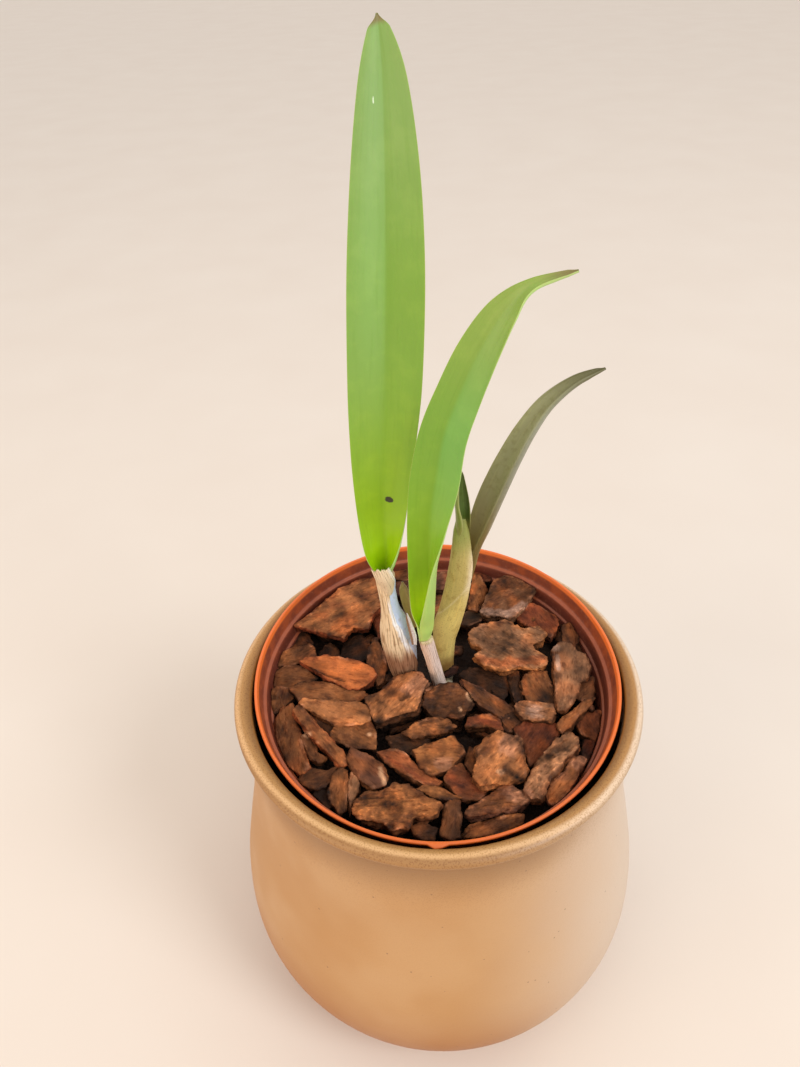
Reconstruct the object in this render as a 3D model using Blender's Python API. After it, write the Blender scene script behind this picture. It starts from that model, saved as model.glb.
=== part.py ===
"""Potted cattleya orchid: a young plant with three growths, standing in bark chips.

The chips fill a thin plastic nursery pot, which is wedged in the mouth of a round-bellied
stoneware cachepot. +Z is up, +X is to the viewer's right, and the viewer looks along +Y.
Every length below is in millimetres. make_object turns them into metres.
"""
import itertools
import math
import random

import bmesh
import bpy
from mathutils import Matrix, Vector

MM = 0.001
GAP = 0.3

# Stoneware cachepot, turned round Z. Stations are (radius, height) on the outside.
CACHEPOT_FOOT_R = 47.5
CACHEPOT_BELLY = [(48.5, 0.8), (54.5, 3.5), (61.5, 9.0), (69.6, 19.0), (74.0, 34.0), (73.4, 52.0),
                  (70.2, 70.0), (66.2, 90.0), (64.0, 108.0), (62.8, 122.0), (62.6, 131.6)]
# The bead is an oval: half its width and half its height.
CACHEPOT_BEAD_R = 63.4
CACHEPOT_BEAD_Z = 134.5
CACHEPOT_BEAD_HALVES = (2.8, 1.9)
CACHEPOT_BEAD_ARC = (-55, 180, 7)
CACHEPOT_WALL = 4.4
CACHEPOT_MOUTH_R = CACHEPOT_BEAD_R - CACHEPOT_BEAD_HALVES[0]
CACHEPOT_NECK_WALL = 2.3
CACHEPOT_FLOOR = 7.0
# The inside turns into the floor: (how far in from the wall, height above the floor).
CACHEPOT_FLOOR_TURN = [(5.0, 5.0), (13.0, 0.8), (20.0, 0.0)]
CACHEPOT_SIDES = 44

# Nursery pot, turned round its own axis. Depths run down from its edge.
POT_EDGE_R = 60.0
POT_DEPTH = 105.0
POT_TILT = math.radians(4.6)
POT_CENTRE = Vector((0.1, 2.3, 136.6))
POT_SIDES = 44
# Both sides of the thin wall: (radius, depth), with the two small ledges of a moulded pot.
POT_INSIDE = [(59.1, 0.0), (58.6, 1.4), (57.7, 5.2), (56.7, 5.6), (55.9, 10.0), (55.1, 10.4), (41.4, 104.2)]
POT_OUTSIDE = [(59.7, 0.0), (POT_EDGE_R, 0.4), (POT_EDGE_R, 0.9), (59.5, 1.2), (58.4, 5.7), (57.4, 6.1),
               (56.6, 10.5), (55.8, 10.9), (42.4, POT_DEPTH)]
POT_FLOOR = 1.2
DRAIN_HOLES = 6
DRAIN_HOLE_R = 3.5
DRAIN_RING_R = 29.0
DRAIN_SIDES = 10
DRAIN_CUT = (-2.0, 4.0)
# The moulding mark at the front of the edge: where it is, from POT_EDGE_R inwards and outwards, and its
# depths.
NUB_X = (-4.7, -2.0)
NUB_REACH = (-0.6, 1.2)
NUB_DEPTHS = (0.25, 1.3)

# Bark: a packed core, with split chips of pine bark piled on it.
BARK_BASE_DEPTH = 15.5
BARK_RINGS = 8
BARK_SPOKES = 28
BARK_WAIST_DEPTH = 60.0
BARK_SHOULDER = 3.0
BARK_CLEARANCE = 0.5
BARK_SEED = 11
CHIP_SINK = 1.6
CHIP_ROUGHNESS = 0.35
# Rings of a chip: (share of its outline, height as a share of its thickness).
CHIP_RINGS = ((0.95, 0.0), (1.0, -0.3), (0.86, -1.0))
UNDER_SHARE = 0.6
FILLER_CHIPS = 16
FILLER_CORNERS = 6
FILLER_REACH = 51.0
FILLER_SPACING = 8.0
# A filler's half length, half width, depth, thickness, tilt in degrees and uneven corners.
FILLER_HALF_LENGTH = (6.0, 9.5)
FILLER_HALF_WIDTH = (3.5, 5.5)
FILLER_DEPTH = (11.0, 13.0)
FILLER_THICK = (4.0, 6.0)
FILLER_TILT = (-12.0, 12.0)
FILLER_UNEVEN = (0.85, 1.1)
TRIM_CLEARANCE = GAP + 0.05
TRIM_FLOOR_CLEARANCE = 0.6 * GAP
PLANT_CENTRE = (-3.0, 10.0)
PLANT_CLEARANCE = 11.0
FLAT_ANGLE = math.radians(5.0)
# Trimming shapes reach this far above the pot's edge.
ROOM_TOP = 20.0

# Chips that show: (depth of the top, thickness, rise to the right, rise to the back, corners). The rises
# are slopes in degrees. The corners (x, y) are measured from the pot's axis, as the viewer's EYE sees
# them on a plane READ_DEPTH below the pot's edge.
EYE = Vector((-10.0, -163.0, 214.0))
READ_DEPTH = 7.0
CHIPS = [
    (5, 5, 0, 3, [(-50, 28), (-45, 33), (-38, 40), (-34, 45), (-26, 50), (-21, 51), (-16, 45), (-17, 36),
                  (-21, 32), (-23, 25), (-29, 25.5), (-31.5, 20.5), (-38, 23.5), (-44, 26)]),
    (8, 5, 0, 0, [(-21, 36), (-15, 38), (-12, 30), (-14, 21), (-19, 20), (-21, 27)]),
    (10, 5, 0, 4, [(-33, 13), (-31, 20), (-26, 22), (-22, 20), (-22, 13), (-26, 9)]),
    (8, 5, 4, 5, [(-55, 10), (-54, 15), (-50, 17.5), (-44, 19.5), (-42, 17), (-41, 13.5), (-45, 11),
                  (-50, 9)]),
    (11, 4, 0, 0, [(-53, 18), (-51, 26), (-45, 25), (-42, 19), (-48, 16)]),
    (5.5, 6, -3, 8, [(-47, 11.5), (-44, 13), (-35, 13.3), (-27, 11), (-21, 7.5), (-20, 4), (-22.5, 0.5),
                     (-26, -1.2), (-30, -1), (-36, 3), (-41, 7)]),
    (7.5, 5, 0, 4, [(-23, 16), (-20.5, 20.5), (-18, 16), (-16.5, 8), (-17.5, 1), (-19.7, -0.5), (-21, 5),
                    (-23, 9.5)]),
    (8.5, 5, 3, 2, [(-56, 2), (-55, 8), (-51, 10), (-45, 9), (-40.5, 4), (-44, 1), (-51, -0.5)]),
    (7.3, 5, -2, 2, [(-50, 0.5), (-45, 3), (-38, 2.7), (-31, 0), (-24.5, -2.3), (-22.5, -4.3), (-28, -7),
                     (-38, -6), (-46, -5)]),
    (9, 5, 0, 6, [(-56.5, -1), (-53, 1.5), (-49, 0), (-47.5, -4), (-50, -7), (-54, -9.5), (-56, -6)]),
    (5.3, 5, 0, 4, [(-46.3, -6), (-44.5, -3.7), (-36, -5.2), (-26, -6), (-22.5, -8.5), (-22, -13.5),
                    (-25, -15.8), (-33.8, -15.4), (-38, -12), (-42, -9.3)]),
    (7.2, 6, 0, 10, [(-34.5, -16), (-31, -14.3), (-22, -13.3), (-20.4, -18), (-20.3, -25), (-27, -24.3),
                     (-35.5, -20)]),
    (3.8, 9, 3, 4, [(-24, -4.6), (-20, -2.6), (-16.5, 0), (-14.5, 3.2), (-8, 5), (-5, 4.2), (-2.3, 0.8),
                    (-4.5, -3), (-5.4, -7), (-7, -10.5), (-14, -12.9), (-20.8, -14.8), (-22.6, -10)]),
    (5.3, 9, -3, 18, [(-4.6, -3.6), (-1, -1.4), (3, -0.7), (7.3, -1), (10, -4), (12, -8.7), (10, -12),
                      (6.6, -15.3), (-2, -13.7), (-5.2, -9)]),
    (5.7, 5, 0, 10, [(-12, -18.8), (-8, -16), (-4, -14), (0, -13.3), (3, -15.3), (5.4, -17.8), (1, -19.8),
                     (-4, -20.9), (-9, -20.4)]),
    (6.8, 5, -4, 6, [(8.4, -17.6), (9.3, -14.2), (12, -13.2), (17, -13.5), (19.7, -15.6), (20.4, -20),
                     (18, -20), (15.5, -17.8), (12, -17.5)]),
    (3.8, 8, 0, 4, [(10.8, -25.3), (14, -22.5), (18.5, -19.8), (22, -21), (25.7, -23.3), (25.5, -30),
                    (26.3, -33.5), (25, -36.2), (20.5, -37.8), (11, -39), (8.9, -35.6), (10.8, -31)]),
    (5.5, 6, 2, 5, [(-9, -25.5), (-5, -23.6), (0, -22), (4.4, -20.9), (7.7, -26.7), (5, -29.8),
                    (1.8, -33.2), (-4, -34.3), (-6.8, -31.3)]),
    (9, 5, 0, 0, [(-17, -20), (-10, -19), (-4, -20), (-3, -24), (-8, -27), (-15, -25.5)]),
    (6.3, 5, -4, 6, [(-20.4, -25.4), (-16, -24.3), (-12, -25.2), (-9, -29.3), (-5, -33.5), (0, -36.6),
                     (-1.6, -38.2), (-6, -37.9), (-12, -33.6), (-17.5, -28.8)]),
    (7.3, 5, -6, 4, [(0.3, -36), (3, -32.3), (5.2, -31), (8.3, -34), (10, -38), (14, -39.5), (11, -43),
                     (6, -43), (3, -40.5)]),
    (8.3, 4, 0, 0, [(7, -28.5), (9, -24.6), (11, -26.5), (11, -32), (9, -35), (6.6, -31.5)]),
    (6.8, 4, -4, 2, [(-8.4, -38.8), (-6.5, -37.3), (-1, -38.2), (4.8, -42.2), (2, -43.6), (-4, -42)]),
    (8, 5, 0, 6, [(-2, -53.6), (-1.2, -46), (1.2, -42.5), (4.8, -43), (4.3, -48), (4, -54.3), (0.8, -55.3)]),
    (5.3, 6, 0, 3, [(-27.2, -44.5), (-26, -41), (-24, -38.7), (-20, -39), (-15, -37.2), (-11, -37.3),
                    (-6, -40.6), (-1.1, -44.2), (-2.6, -47.2), (-5.5, -48.3), (-9.5, -47.8), (-11.5, -50.7),
                    (-15.5, -51.7), (-18.5, -49.2), (-25.6, -48)]),
    (7, 5, 0, 8, [(-29.4, -37), (-28, -32.2), (-25.8, -34), (-25.5, -37), (-27, -42), (-28.3, -47.3)]),
    (5.8, 5, -6, 4, [(-29.3, -28), (-28.4, -23.2), (-25, -25.4), (-21.5, -26.9), (-18.3, -30), (-16.9, -34),
                     (-17.4, -37.4), (-21, -38.4), (-26, -35)]),
    (7.3, 5, 3, 5, [(-35.2, -38), (-33.7, -33.2), (-31, -30.6), (-29, -32), (-28.7, -38), (-29.5, -44),
                    (-31.6, -45.3), (-34.5, -42)]),
    (8, 5, 8, 3, [(-53.5, -12), (-51.5, -7.3), (-48, -6), (-46, -13), (-43.5, -22), (-41, -30), (-44, -32.5),
                  (-49, -28.5), (-52, -20)]),
    (5, 5, -5, 6, [(-48.2, -8.7), (-46, -6.6), (-41, -12), (-36, -18.3), (-31, -24.3), (-29.2, -29),
                   (-31.2, -30.4), (-37.5, -23.3), (-42, -17.8)]),
    (8, 4, 0, 5, [(-44, -8.5), (-40, -10), (-36, -13.5), (-32.5, -16), (-33.5, -20), (-36.5, -19.5),
                  (-40.5, -14.5)]),
    (7.3, 4, 0, 8, [(-44.6, -18.8), (-43, -17.2), (-41, -19), (-39.5, -22.5), (-38.6, -25.3), (-36, -26.7),
                    (-38.5, -29), (-42, -26)]),
    (8.6, 4, 4, 4, [(-45, -34), (-41, -30.3), (-36, -31), (-31.5, -29.3), (-32.5, -33), (-36, -37),
                    (-41, -37.5)]),
    (10, 4, 0, 0, [(-40, -40), (-38, -35.5), (-33.5, -38), (-33, -43), (-36, -44.5)]),
    (9, 4, 0, 4, [(-11.5, -50.5), (-7, -48.8), (-2.5, -51.5), (-4, -55), (-9, -53.8)]),
    (5, 6, 0, 3, [(12.8, 18.5), (13.8, 22.3), (17.5, 24.3), (21, 25.6), (26.5, 26), (29.5, 23.4), (32.5, 22),
                  (37.5, 22.8), (40, 19.5), (38.4, 16), (34.8, 14.4), (35.6, 12.2), (39.1, 9.4), (38.3, 5.5),
                  (34.5, 4), (29, 5.2), (23, 3.9), (17, 6.8), (13.7, 10.6), (16.8, 13.4), (13.6, 16.3)]),
    (8, 5, 3, 4, [(31, 26), (32, 30), (36, 34), (40, 32.5), (46, 26), (44.5, 21), (41.5, 16.3),
                  (38.5, 18.5)]),
    (4.8, 5, -3, 4, [(45.5, 15.6), (41, 12), (40.4, 5), (39.6, -2), (38.7, -13), (41.6, -13.3), (44, -10),
                     (47, -6.5), (48, -2), (51.5, -0.5), (53.3, 4), (52.3, 9.4), (49.5, 10.4), (48.3, 14.3)]),
    (8, 5, 0, 3, [(47.5, -1.5), (53, 0), (53, -6), (50, -11), (45, -9), (46, -5)]),
    (6.3, 4, 5, 4, [(51.5, -9), (48, -10), (43.5, -12.8), (39.3, -15.8), (37.4, -19), (38.6, -22.3),
                    (41.2, -20.3), (44, -17), (48, -13.2)]),
    (7.3, 6, 2, 4, [(28, -1), (29.5, 1), (33, 3.3), (38, 3), (38.5, -4), (38.3, -11), (34, -11), (29.4, -9.7),
                    (28.6, -5)]),
    (6, 5, 2, 6, [(24.6, -10.5), (27.5, -8.4), (31, -9), (37.5, -10.5), (38.5, -14), (36, -17.6),
                  (31, -16.6), (27.3, -16.2), (26, -13.5)]),
    (8.5, 5, 0, 2, [(23.5, -19), (27.5, -16.5), (33, -17), (37.5, -17.5), (38.5, -21), (36, -25.5),
                    (31, -30), (26.8, -33), (25.5, -26)]),
    (4.3, 8, 3, 5, [(23.4, -41), (26, -36.8), (29.5, -31.5), (33, -27), (36.5, -23.7), (40, -21.4),
                    (43.4, -23.3), (43, -27.6), (39.5, -30.8), (35, -35.6), (31.5, -39.2), (28.8, -44.2),
                    (25.8, -43.4)]),
    (6, 6, 3, 6, [(29.9, -42), (32, -38.8), (36, -35.3), (40, -30.8), (43, -29.8), (44.6, -31.3),
                  (42.5, -34.6), (40, -38.6), (37, -42), (33, -45.4), (30.3, -45.2)]),
    (6.8, 6, 2, 6, [(5.2, -47), (8, -44.8), (12, -42.4), (16, -40), (19.5, -38), (22, -40.4), (26.1, -43.2),
                    (24.5, -45), (18.3, -47.7), (12, -48), (7, -48.7)]),
    (9, 5, 2, 5, [(4.3, -54), (7, -50.8), (12, -49), (23, -48.4), (22, -51), (16, -53.6), (9, -55)]),
    (7.4, 5, -7, 4, [(8.4, 1), (11, -0.6), (15, -3.3), (19.5, -6.4), (23, -9.8), (25.2, -12.5),
                     (24, -15.6), (20, -15.3), (13, -9.5), (10.2, -4.5)]),
    (10, 5, 0, 3, [(8, 3), (12, 6), (18, 6), (25, 4), (25, -3), (22, -8), (17, -6), (12, -2)]),
    (9, 5, 0, 0, [(24.6, 3), (28.5, 4), (28, -2), (28.6, -8), (25.5, -10), (24.3, -4)]),
    (8.7, 5, 0, 3, [(20, -14.5), (24, -13.5), (27, -16.5), (25, -20.5), (20.8, -19.5)]),
    (5.8, 7, -4, 6, [(18.5, 31), (20, 35.5), (22.5, 41), (25, 46.5), (30, 48.5), (35, 45.5), (40, 41),
                     (37, 35.5), (34.5, 32), (31.5, 28.8), (28, 26.5), (25, 28.7), (21.5, 29)]),
    (8, 5, 0, 4, [(13.5, 32), (15.5, 41), (17, 50), (20, 49), (22, 42), (19.5, 35), (17, 30.5)]),
    (9, 5, 0, 0, [(15, 50), (18.5, 55), (25, 52.5), (24, 46), (19, 45)]),
    (9.6, 4, 0, 3, [(9.5, 25.5), (12, 31), (16, 32.5), (20, 30), (18, 26), (13, 23.5)]),
    (7.6, 5, 0, 3, [(-3, 28), (-1, 35.5), (5, 37.5), (8.5, 34), (7, 27.5)]),
    (8.8, 5, 0, 0, [(-1, 43), (0.5, 50), (7.5, 51.5), (11, 47), (9, 41)]),
    (8.6, 5, 0, 4, [(-15, 49), (-14, 55), (-5, 55.5), (-4, 49.5), (-9, 47.5)]),
    (8, 5, 0, 0, [(-14, 42), (-12.5, 48), (-6, 48.5), (-4, 42.5), (-8, 39)]),
    (8.5, 5, 0, 0, [(45, 15), (46, 23), (49.5, 24), (51.5, 17.5), (49.5, 12)]),
    (10, 5, 0, 0, [(-14, 26), (-12, 33), (-6, 33), (-5, 26), (-9, 22)]),
]

# The plant. Rooted parts stand in plain holes in the bark, with HOLE_GAP round them.
HOLE_GAP = 0.45
HOLE_START = 3.4
HOLE_REACH = 30.0
# Round or flattened stems: (x, y, z, half width, half depth).
PSEUDOBULB = [(-9.6, 10.2, 123.6, 3.3, 3.3), (-10.3, 10.1, 127.0, 3.9, 3.9), (-10.9, 10.0, 134.0, 5.0, 4.6),
              (-11.8, 10.0, 142.5, 5.5, 5.0), (-12.7, 10.0, 150.4, 4.8, 4.3), (-13.8, 10.0, 157.6, 3.0, 3.0),
              (-14.5, 10.0, 164.5, 2.6, 2.7), (-15.2, 10.0, 172.4, 2.8, 2.6)]
SHOOT_2 = [(1.7, 6.0, 122.9, 2.2, 2.2), (1.2, 6.0, 126.5, 2.1, 2.1), (-0.9, 6.0, 137.2, 2.1, 2.0),
           (-3.0, 6.0, 147.6, 2.2, 2.0)]
SHOOT_3 = [(3.4, 14.5, 123.0, 3.4, 2.8), (3.4, 14.5, 130.0, 3.5, 2.9), (3.6, 14.5, 138.5, 3.8, 3.0),
           (4.6, 14.6, 145.0, 4.3, 3.0), (6.2, 14.9, 152.0, 4.3, 2.8), (7.7, 15.1, 160.0, 4.1, 2.5),
           (8.9, 15.5, 169.0, 3.9, 2.2), (9.1, 16.1, 177.0, 3.1, 1.8), (9.0, 16.7, 183.5, 2.4, 1.4),
           (9.0, 17.0, 187.8, 1.5, 0.9)]
STEM_SIDES = 12

# Leaves: (x, y, z of the midrib, half width along the blade, lift of the left wing, lift of the right
# wing, turn, rise). A lift is the wing's slope at its margin, in degrees. Turn and rise say where the
# upper face looks: turn swings it from the viewer (-Y) towards +X, and rise tips it up.
LEAF_1 = [(-14.9, 11.2, 172.9, 3.8, 105, 150, -8, 0), (-14.4, 11.0, 180.5, 6.9, 62, 108, -6, 0),
          (-14.7, 10.6, 194.6, 7.6, 34, 48, -4, 0), (-14.1, 9.6, 212.3, 8.6, 24, 26, -2, 0),
          (-13.0, 8.4, 228.2, 9.4, 18, 18, 0, 0), (-12.0, 7.6, 242.3, 9.7, 15, 15, 0, 0),
          (-10.8, 7.0, 264.8, 9.4, 14, 14, 0, 0), (-10.0, 7.4, 282.8, 8.4, 14, 14, 0, 0),
          (-9.6, 8.2, 297.2, 6.9, 15, 15, 0, 0), (-9.5, 9.6, 309.1, 4.9, 17, 17, 0, 0),
          (-9.8, 10.4, 316.4, 2.5, 18, 18, 0, 0), (-10.1, 11.0, 319.2, 0.5, 18, 18, 0, 0)]
LEAF_2 = [(-1.9, 7.4, 148.1, 5.0, 126, 160, -32, 0), (-1.6, 7.4, 154.5, 5.6, 118, 158, -32, 0),
          (-1.4, 7.2, 162.5, 6.6, 72, 134, -30, 0), (-1.4, 6.4, 182.2, 6.6, 46, 94, -24, 0),
          (-1.1, 5.0, 196.8, 6.7, 34, 50, -20, 2), (0.6, 3.6, 211.3, 7.4, 28, 32, -20, 6),
          (2.8, 2.4, 226.5, 6.8, 26, 26, -20, 10), (6.6, 1.4, 238.9, 6.2, 26, 24, -20, 16),
          (11.2, 0.2, 251.2, 5.5, 28, 24, -20, 24), (16.4, -1.0, 261.2, 4.1, 32, 28, -20, 34),
          (22.2, -2.4, 267.9, 1.5, 36, 36, -20, 44), (31.9, -4.0, 271.4, 0.5, 36, 36, -20, 50)]
LEAF_3_SHORT = [(8.3, 16.8, 188.3, 3.6, 98, 98, 42, 0), (8.1, 17.0, 194.4, 3.2, 74, 74, 42, 0),
                (8.2, 16.6, 201.0, 1.9, 64, 64, 42, 0), (8.5, 16.2, 206.4, 0.5, 60, 60, 42, 0)]
LEAF_3_LONG = [(13.0, 20.8, 164.7, 3.4, 96, 96, -62, 20), (14.7, 21.0, 173.2, 4.5, 84, 84, -63, 24),
               (17.8, 21.2, 182.2, 6.1, 77, 77, -64, 26), (20.9, 21.6, 191.5, 6.6, 74, 74, -64, 28),
               (25.3, 22.4, 203.6, 6.0, 73, 73, -64, 30), (29.9, 23.6, 213.9, 4.9, 72, 72, -64, 34),
               (34.9, 24.8, 221.8, 3.6, 70, 70, -64, 40), (42.2, 26.4, 227.8, 2.0, 66, 66, -62, 50),
               (50.2, 28.0, 230.8, 0.5, 60, 60, -60, 56)]
SHEATH_2_BACK = [(-5.5, 10.6, 148.6, 1.3, 60, 60, -10, 0), (-7.9, 12.4, 156.5, 2.0, 50, 50, -10, 0),
                 (-9.3, 12.8, 163.0, 1.6, 46, 46, -10, 0), (-9.9, 12.9, 166.5, 0.5, 40, 40, -10, 0)]
# The first growth's sheath ends in a collar that stands in front of the leaf's base, so it faces back.
SHEATH_1_COLLAR = [(-14.3, 8.6, 163.5, 1.2, 60, 60, 180, 0), (-14.4, 6.9, 169.5, 2.9, 62, 56, 180, 0),
                   (-15.2, 5.0, 174.4, 3.1, 26, 50, 180, 0), (-16.4, 4.2, 179.2, 2.9, 14, 40, 180, 0)]
SHEATH_2_FLAP = [(-6.8, 4.6, 146.4, 0.8, 30, 30, -12, 0), (-7.1, 4.6, 150.4, 1.0, 30, 30, -12, 0),
                 (-8.1, 5.2, 155.2, 0.8, 30, 30, -12, 0), (-8.9, 5.5, 159.6, 0.5, 30, 30, -12, 0)]
LEAF_THICK_MID = 1.5
LEAF_THICK_EDGE = 0.8
LEAF_MIN_THICK = 0.62
LEAF_MIN_HALF_WIDTH = 0.5
LEAF_ROWS_PER_SPAN = 2
LEAF_SAMPLES = (-1.0, -0.52, 0.0, 0.52, 1.0)
# A wing leaves the midrib at this share of its lift.
WING_START = 0.3
WING_STEPS = 8

# Below the surface: the creeping stem that joins the growths, and its roots.
RHIZOME = [(-15.0, 9.6, 119.4, 2.2, 2.0), (-10.0, 10.2, 120.4, 3.0, 2.8), (-3.6, 8.2, 119.9, 2.8, 2.6),
           (1.8, 6.6, 119.9, 2.9, 2.7), (4.4, 10.4, 119.6, 2.8, 2.6), (4.6, 15.0, 119.9, 2.8, 2.7),
           (6.2, 19.6, 120.2, 1.8, 1.6)]
ROOT_R = 1.6
ROOTS = [
    [(-10, 10, 119), (-17, 6, 109), (-23, 2, 94), (-24, -3, 76)],
    [(-4, 8, 119), (-6, -3, 107), (-4, -13, 90), (-8, -18, 70)],
    [(3, 8, 119), (11, 1, 108), (17, -6, 92), (21, -8, 74)],
    [(5, 15, 119), (13, 23, 108), (19, 26, 92), (18, 27, 72)],
    [(-6, 9, 119), (-10, 22, 107), (-9, 31, 90), (-12, 33, 74)],
]
ROOT_SIDES = 6
RHIZOME_SIDES = 8
ROOT_TIP_SHARE = 0.7


def material(name, colour, roughness, metallic=0.0):
    """A Principled BSDF material of one colour."""
    mat = bpy.data.materials.new(name)
    mat.use_nodes = True
    shader = mat.node_tree.nodes["Principled BSDF"]
    shader.inputs["Base Color"].default_value = (*colour, 1.0)
    shader.inputs["Roughness"].default_value = roughness
    shader.inputs["Metallic"].default_value = metallic
    return mat


def make_object(name, points, faces, mat=None):
    """A mesh object from points in millimetres, shaded smooth but for its sharp edges."""
    mesh = bpy.data.meshes.new(name)
    mesh.from_pydata([Vector(p) * MM for p in points], [], faces)
    bm = bmesh.new()
    bm.from_mesh(mesh)
    bmesh.ops.recalc_face_normals(bm, faces=bm.faces)
    bm.to_mesh(mesh)
    bm.free()
    mesh.shade_smooth()
    mesh.set_sharp_from_angle(angle=math.radians(40))
    if mat:
        mesh.materials.append(mat)
    obj = bpy.data.objects.new(name, mesh)
    bpy.context.scene.collection.objects.link(obj)
    return obj


def apply_boolean(target, operation, cutter=None, collection=None, solver="EXACT"):
    """Joins, cuts or trims the target, and bakes the result into its mesh."""
    mod = target.modifiers.new(operation.title(), "BOOLEAN")
    mod.operation = operation
    mod.solver = solver
    if collection:
        mod.operand_type = "COLLECTION"
        mod.collection = collection
    else:
        mod.object = cutter
    depsgraph = bpy.context.evaluated_depsgraph_get()
    mesh = bpy.data.meshes.new_from_object(target.evaluated_get(depsgraph))
    target.modifiers.clear()
    old = target.data
    target.data = mesh
    bpy.data.meshes.remove(old)


def remove(objects):
    for obj in list(objects):
        bpy.data.objects.remove(obj)


def keep_main_body(obj):
    """Fills hollows that joining has sealed, and drops loose scraps: only the largest shell stays."""
    bm = bmesh.new()
    bm.from_mesh(obj.data)
    shells = []
    unseen = set(bm.verts)
    while unseen:
        shell, queue = set(), [unseen.pop()]
        while queue:
            vert = queue.pop()
            shell.add(vert)
            near = {edge.other_vert(vert) for edge in vert.link_edges} & unseen
            unseen -= near
            queue.extend(near)
        shells.append(shell)
    shells.sort(key=len)
    for shell in shells[:-1]:
        bmesh.ops.delete(bm, geom=list(shell), context="VERTS")
    bm.to_mesh(obj.data)
    bm.free()


def smooth_path(points, per_span):
    """Catmull-Rom curve through the points, each a tuple of any length."""
    last = len(points) - 1
    path = []
    for i in range(last):
        p0, p1 = points[max(i - 1, 0)], points[i]
        p2, p3 = points[i + 1], points[min(i + 2, last)]
        for k in range(per_span):
            t = k / per_span
            row = []
            for a, b, c, d in zip(p0, p1, p2, p3):
                row.append(0.5 * (2 * b + (c - a) * t + (2 * a - 5 * b + 4 * c - d) * t ** 2
                                  + (3 * b - a - 3 * c + d) * t ** 3))
            path.append(tuple(row))
    path.append(tuple(points[last]))
    return path


def revolve(profile, sides):
    """Turns a closed shape round Z. The profile runs from the axis to the axis."""
    points = [(0.0, 0.0, profile[0][1])]
    for r, z in profile[1:-1]:
        for k in range(sides):
            a = 2 * math.pi * k / sides
            points.append((r * math.cos(a), r * math.sin(a), z))
    points.append((0.0, 0.0, profile[-1][1]))
    faces = []
    rings = len(profile) - 2
    for k in range(sides):
        k2 = (k + 1) % sides
        faces.append((0, 1 + k2, 1 + k))
        for i in range(rings - 1):
            a, b = 1 + i * sides, 1 + (i + 1) * sides
            faces.append((a + k, a + k2, b + k2, b + k))
        top = 1 + (rings - 1) * sides
        faces.append((top + k, top + k2, len(points) - 1))
    return points, faces


def arc(cx, cz, half_width, half_height, start, end, steps):
    """Points of an oval stretch of a profile, angles in degrees."""
    out = []
    for k in range(steps + 1):
        a = math.radians(start + (end - start) * k / steps)
        out.append((cx + half_width * math.cos(a), cz + half_height * math.sin(a)))
    return out


def cachepot(mat):
    """The stoneware pot: flat foot, low belly, slight neck and a rolled bead round the mouth."""
    outside = CACHEPOT_BELLY
    bead = arc(CACHEPOT_BEAD_R, CACHEPOT_BEAD_Z, *CACHEPOT_BEAD_HALVES, *CACHEPOT_BEAD_ARC)
    inside = []
    for r, z in outside[::-1]:
        if z > CACHEPOT_FLOOR + CACHEPOT_FLOOR_TURN[0][1]:
            inside.append((min(r - CACHEPOT_NECK_WALL, max(r - CACHEPOT_WALL, CACHEPOT_MOUTH_R - GAP)), z))
    floor = [(inside[-1][0] - reach, CACHEPOT_FLOOR + rise) for reach, rise in CACHEPOT_FLOOR_TURN]
    profile = [(0.0, 0.0), (CACHEPOT_FOOT_R, 0.0)] + outside + bead + inside + floor
    profile.append((0.0, CACHEPOT_FLOOR))
    return make_object("cachepot", *revolve(profile, CACHEPOT_SIDES), mat)


def pot_matrix():
    """Where the nursery pot's own axes lie: wedged in the mouth, with its front side a little low."""
    return Matrix.Translation(POT_CENTRE) @ Matrix.Rotation(POT_TILT, 4, "X")


def to_world(points):
    place = pot_matrix()
    return [place @ Vector(p) for p in points]


def nursery_pot(mat):
    """The thin moulded pot: a narrow edge, two ledges, a tapering wall and holes in its floor."""
    wall = [(r, -d) for r, d in POT_INSIDE[::-1] + POT_OUTSIDE]
    profile = [(0.0, -POT_DEPTH + POT_FLOOR)] + wall + [(0.0, -POT_DEPTH)]
    points, faces = revolve(profile, POT_SIDES)
    pot = make_object("nursery_pot", to_world(points), faces, mat)
    cut_drain_holes(pot)
    add_nub(pot)
    return pot


def cut_drain_holes(pot):
    holes = bpy.data.collections.new("holes")
    bpy.context.scene.collection.children.link(holes)
    spots = [(0.0, 0.0)]
    for k in range(DRAIN_HOLES):
        a = 2 * math.pi * (k + 0.5) / DRAIN_HOLES
        spots.append((DRAIN_RING_R * math.cos(a), DRAIN_RING_R * math.sin(a)))
    for x, y in spots:
        low, high = (-POT_DEPTH + reach for reach in DRAIN_CUT)
        ring = [(0.0, low), (DRAIN_HOLE_R, low), (DRAIN_HOLE_R, high), (0.0, high)]
        points, faces = revolve(ring, DRAIN_SIDES)
        hole = make_object("hole", to_world([(px + x, py + y, pz) for px, py, pz in points]), faces)
        holes.objects.link(hole)
        bpy.context.scene.collection.objects.unlink(hole)
    apply_boolean(pot, "DIFFERENCE", collection=holes)
    remove(holes.objects)
    bpy.data.collections.remove(holes)


def box(name, x0, x1, y0, y1, z0, z1):
    points = [(x, y, z) for x in (x0, x1) for y in (y0, y1) for z in (z0, z1)]
    faces = [(0, 1, 3, 2), (4, 6, 7, 5), (0, 4, 5, 1), (2, 3, 7, 6), (0, 2, 6, 4), (1, 5, 7, 3)]
    return make_object(name, to_world(points), faces)


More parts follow.
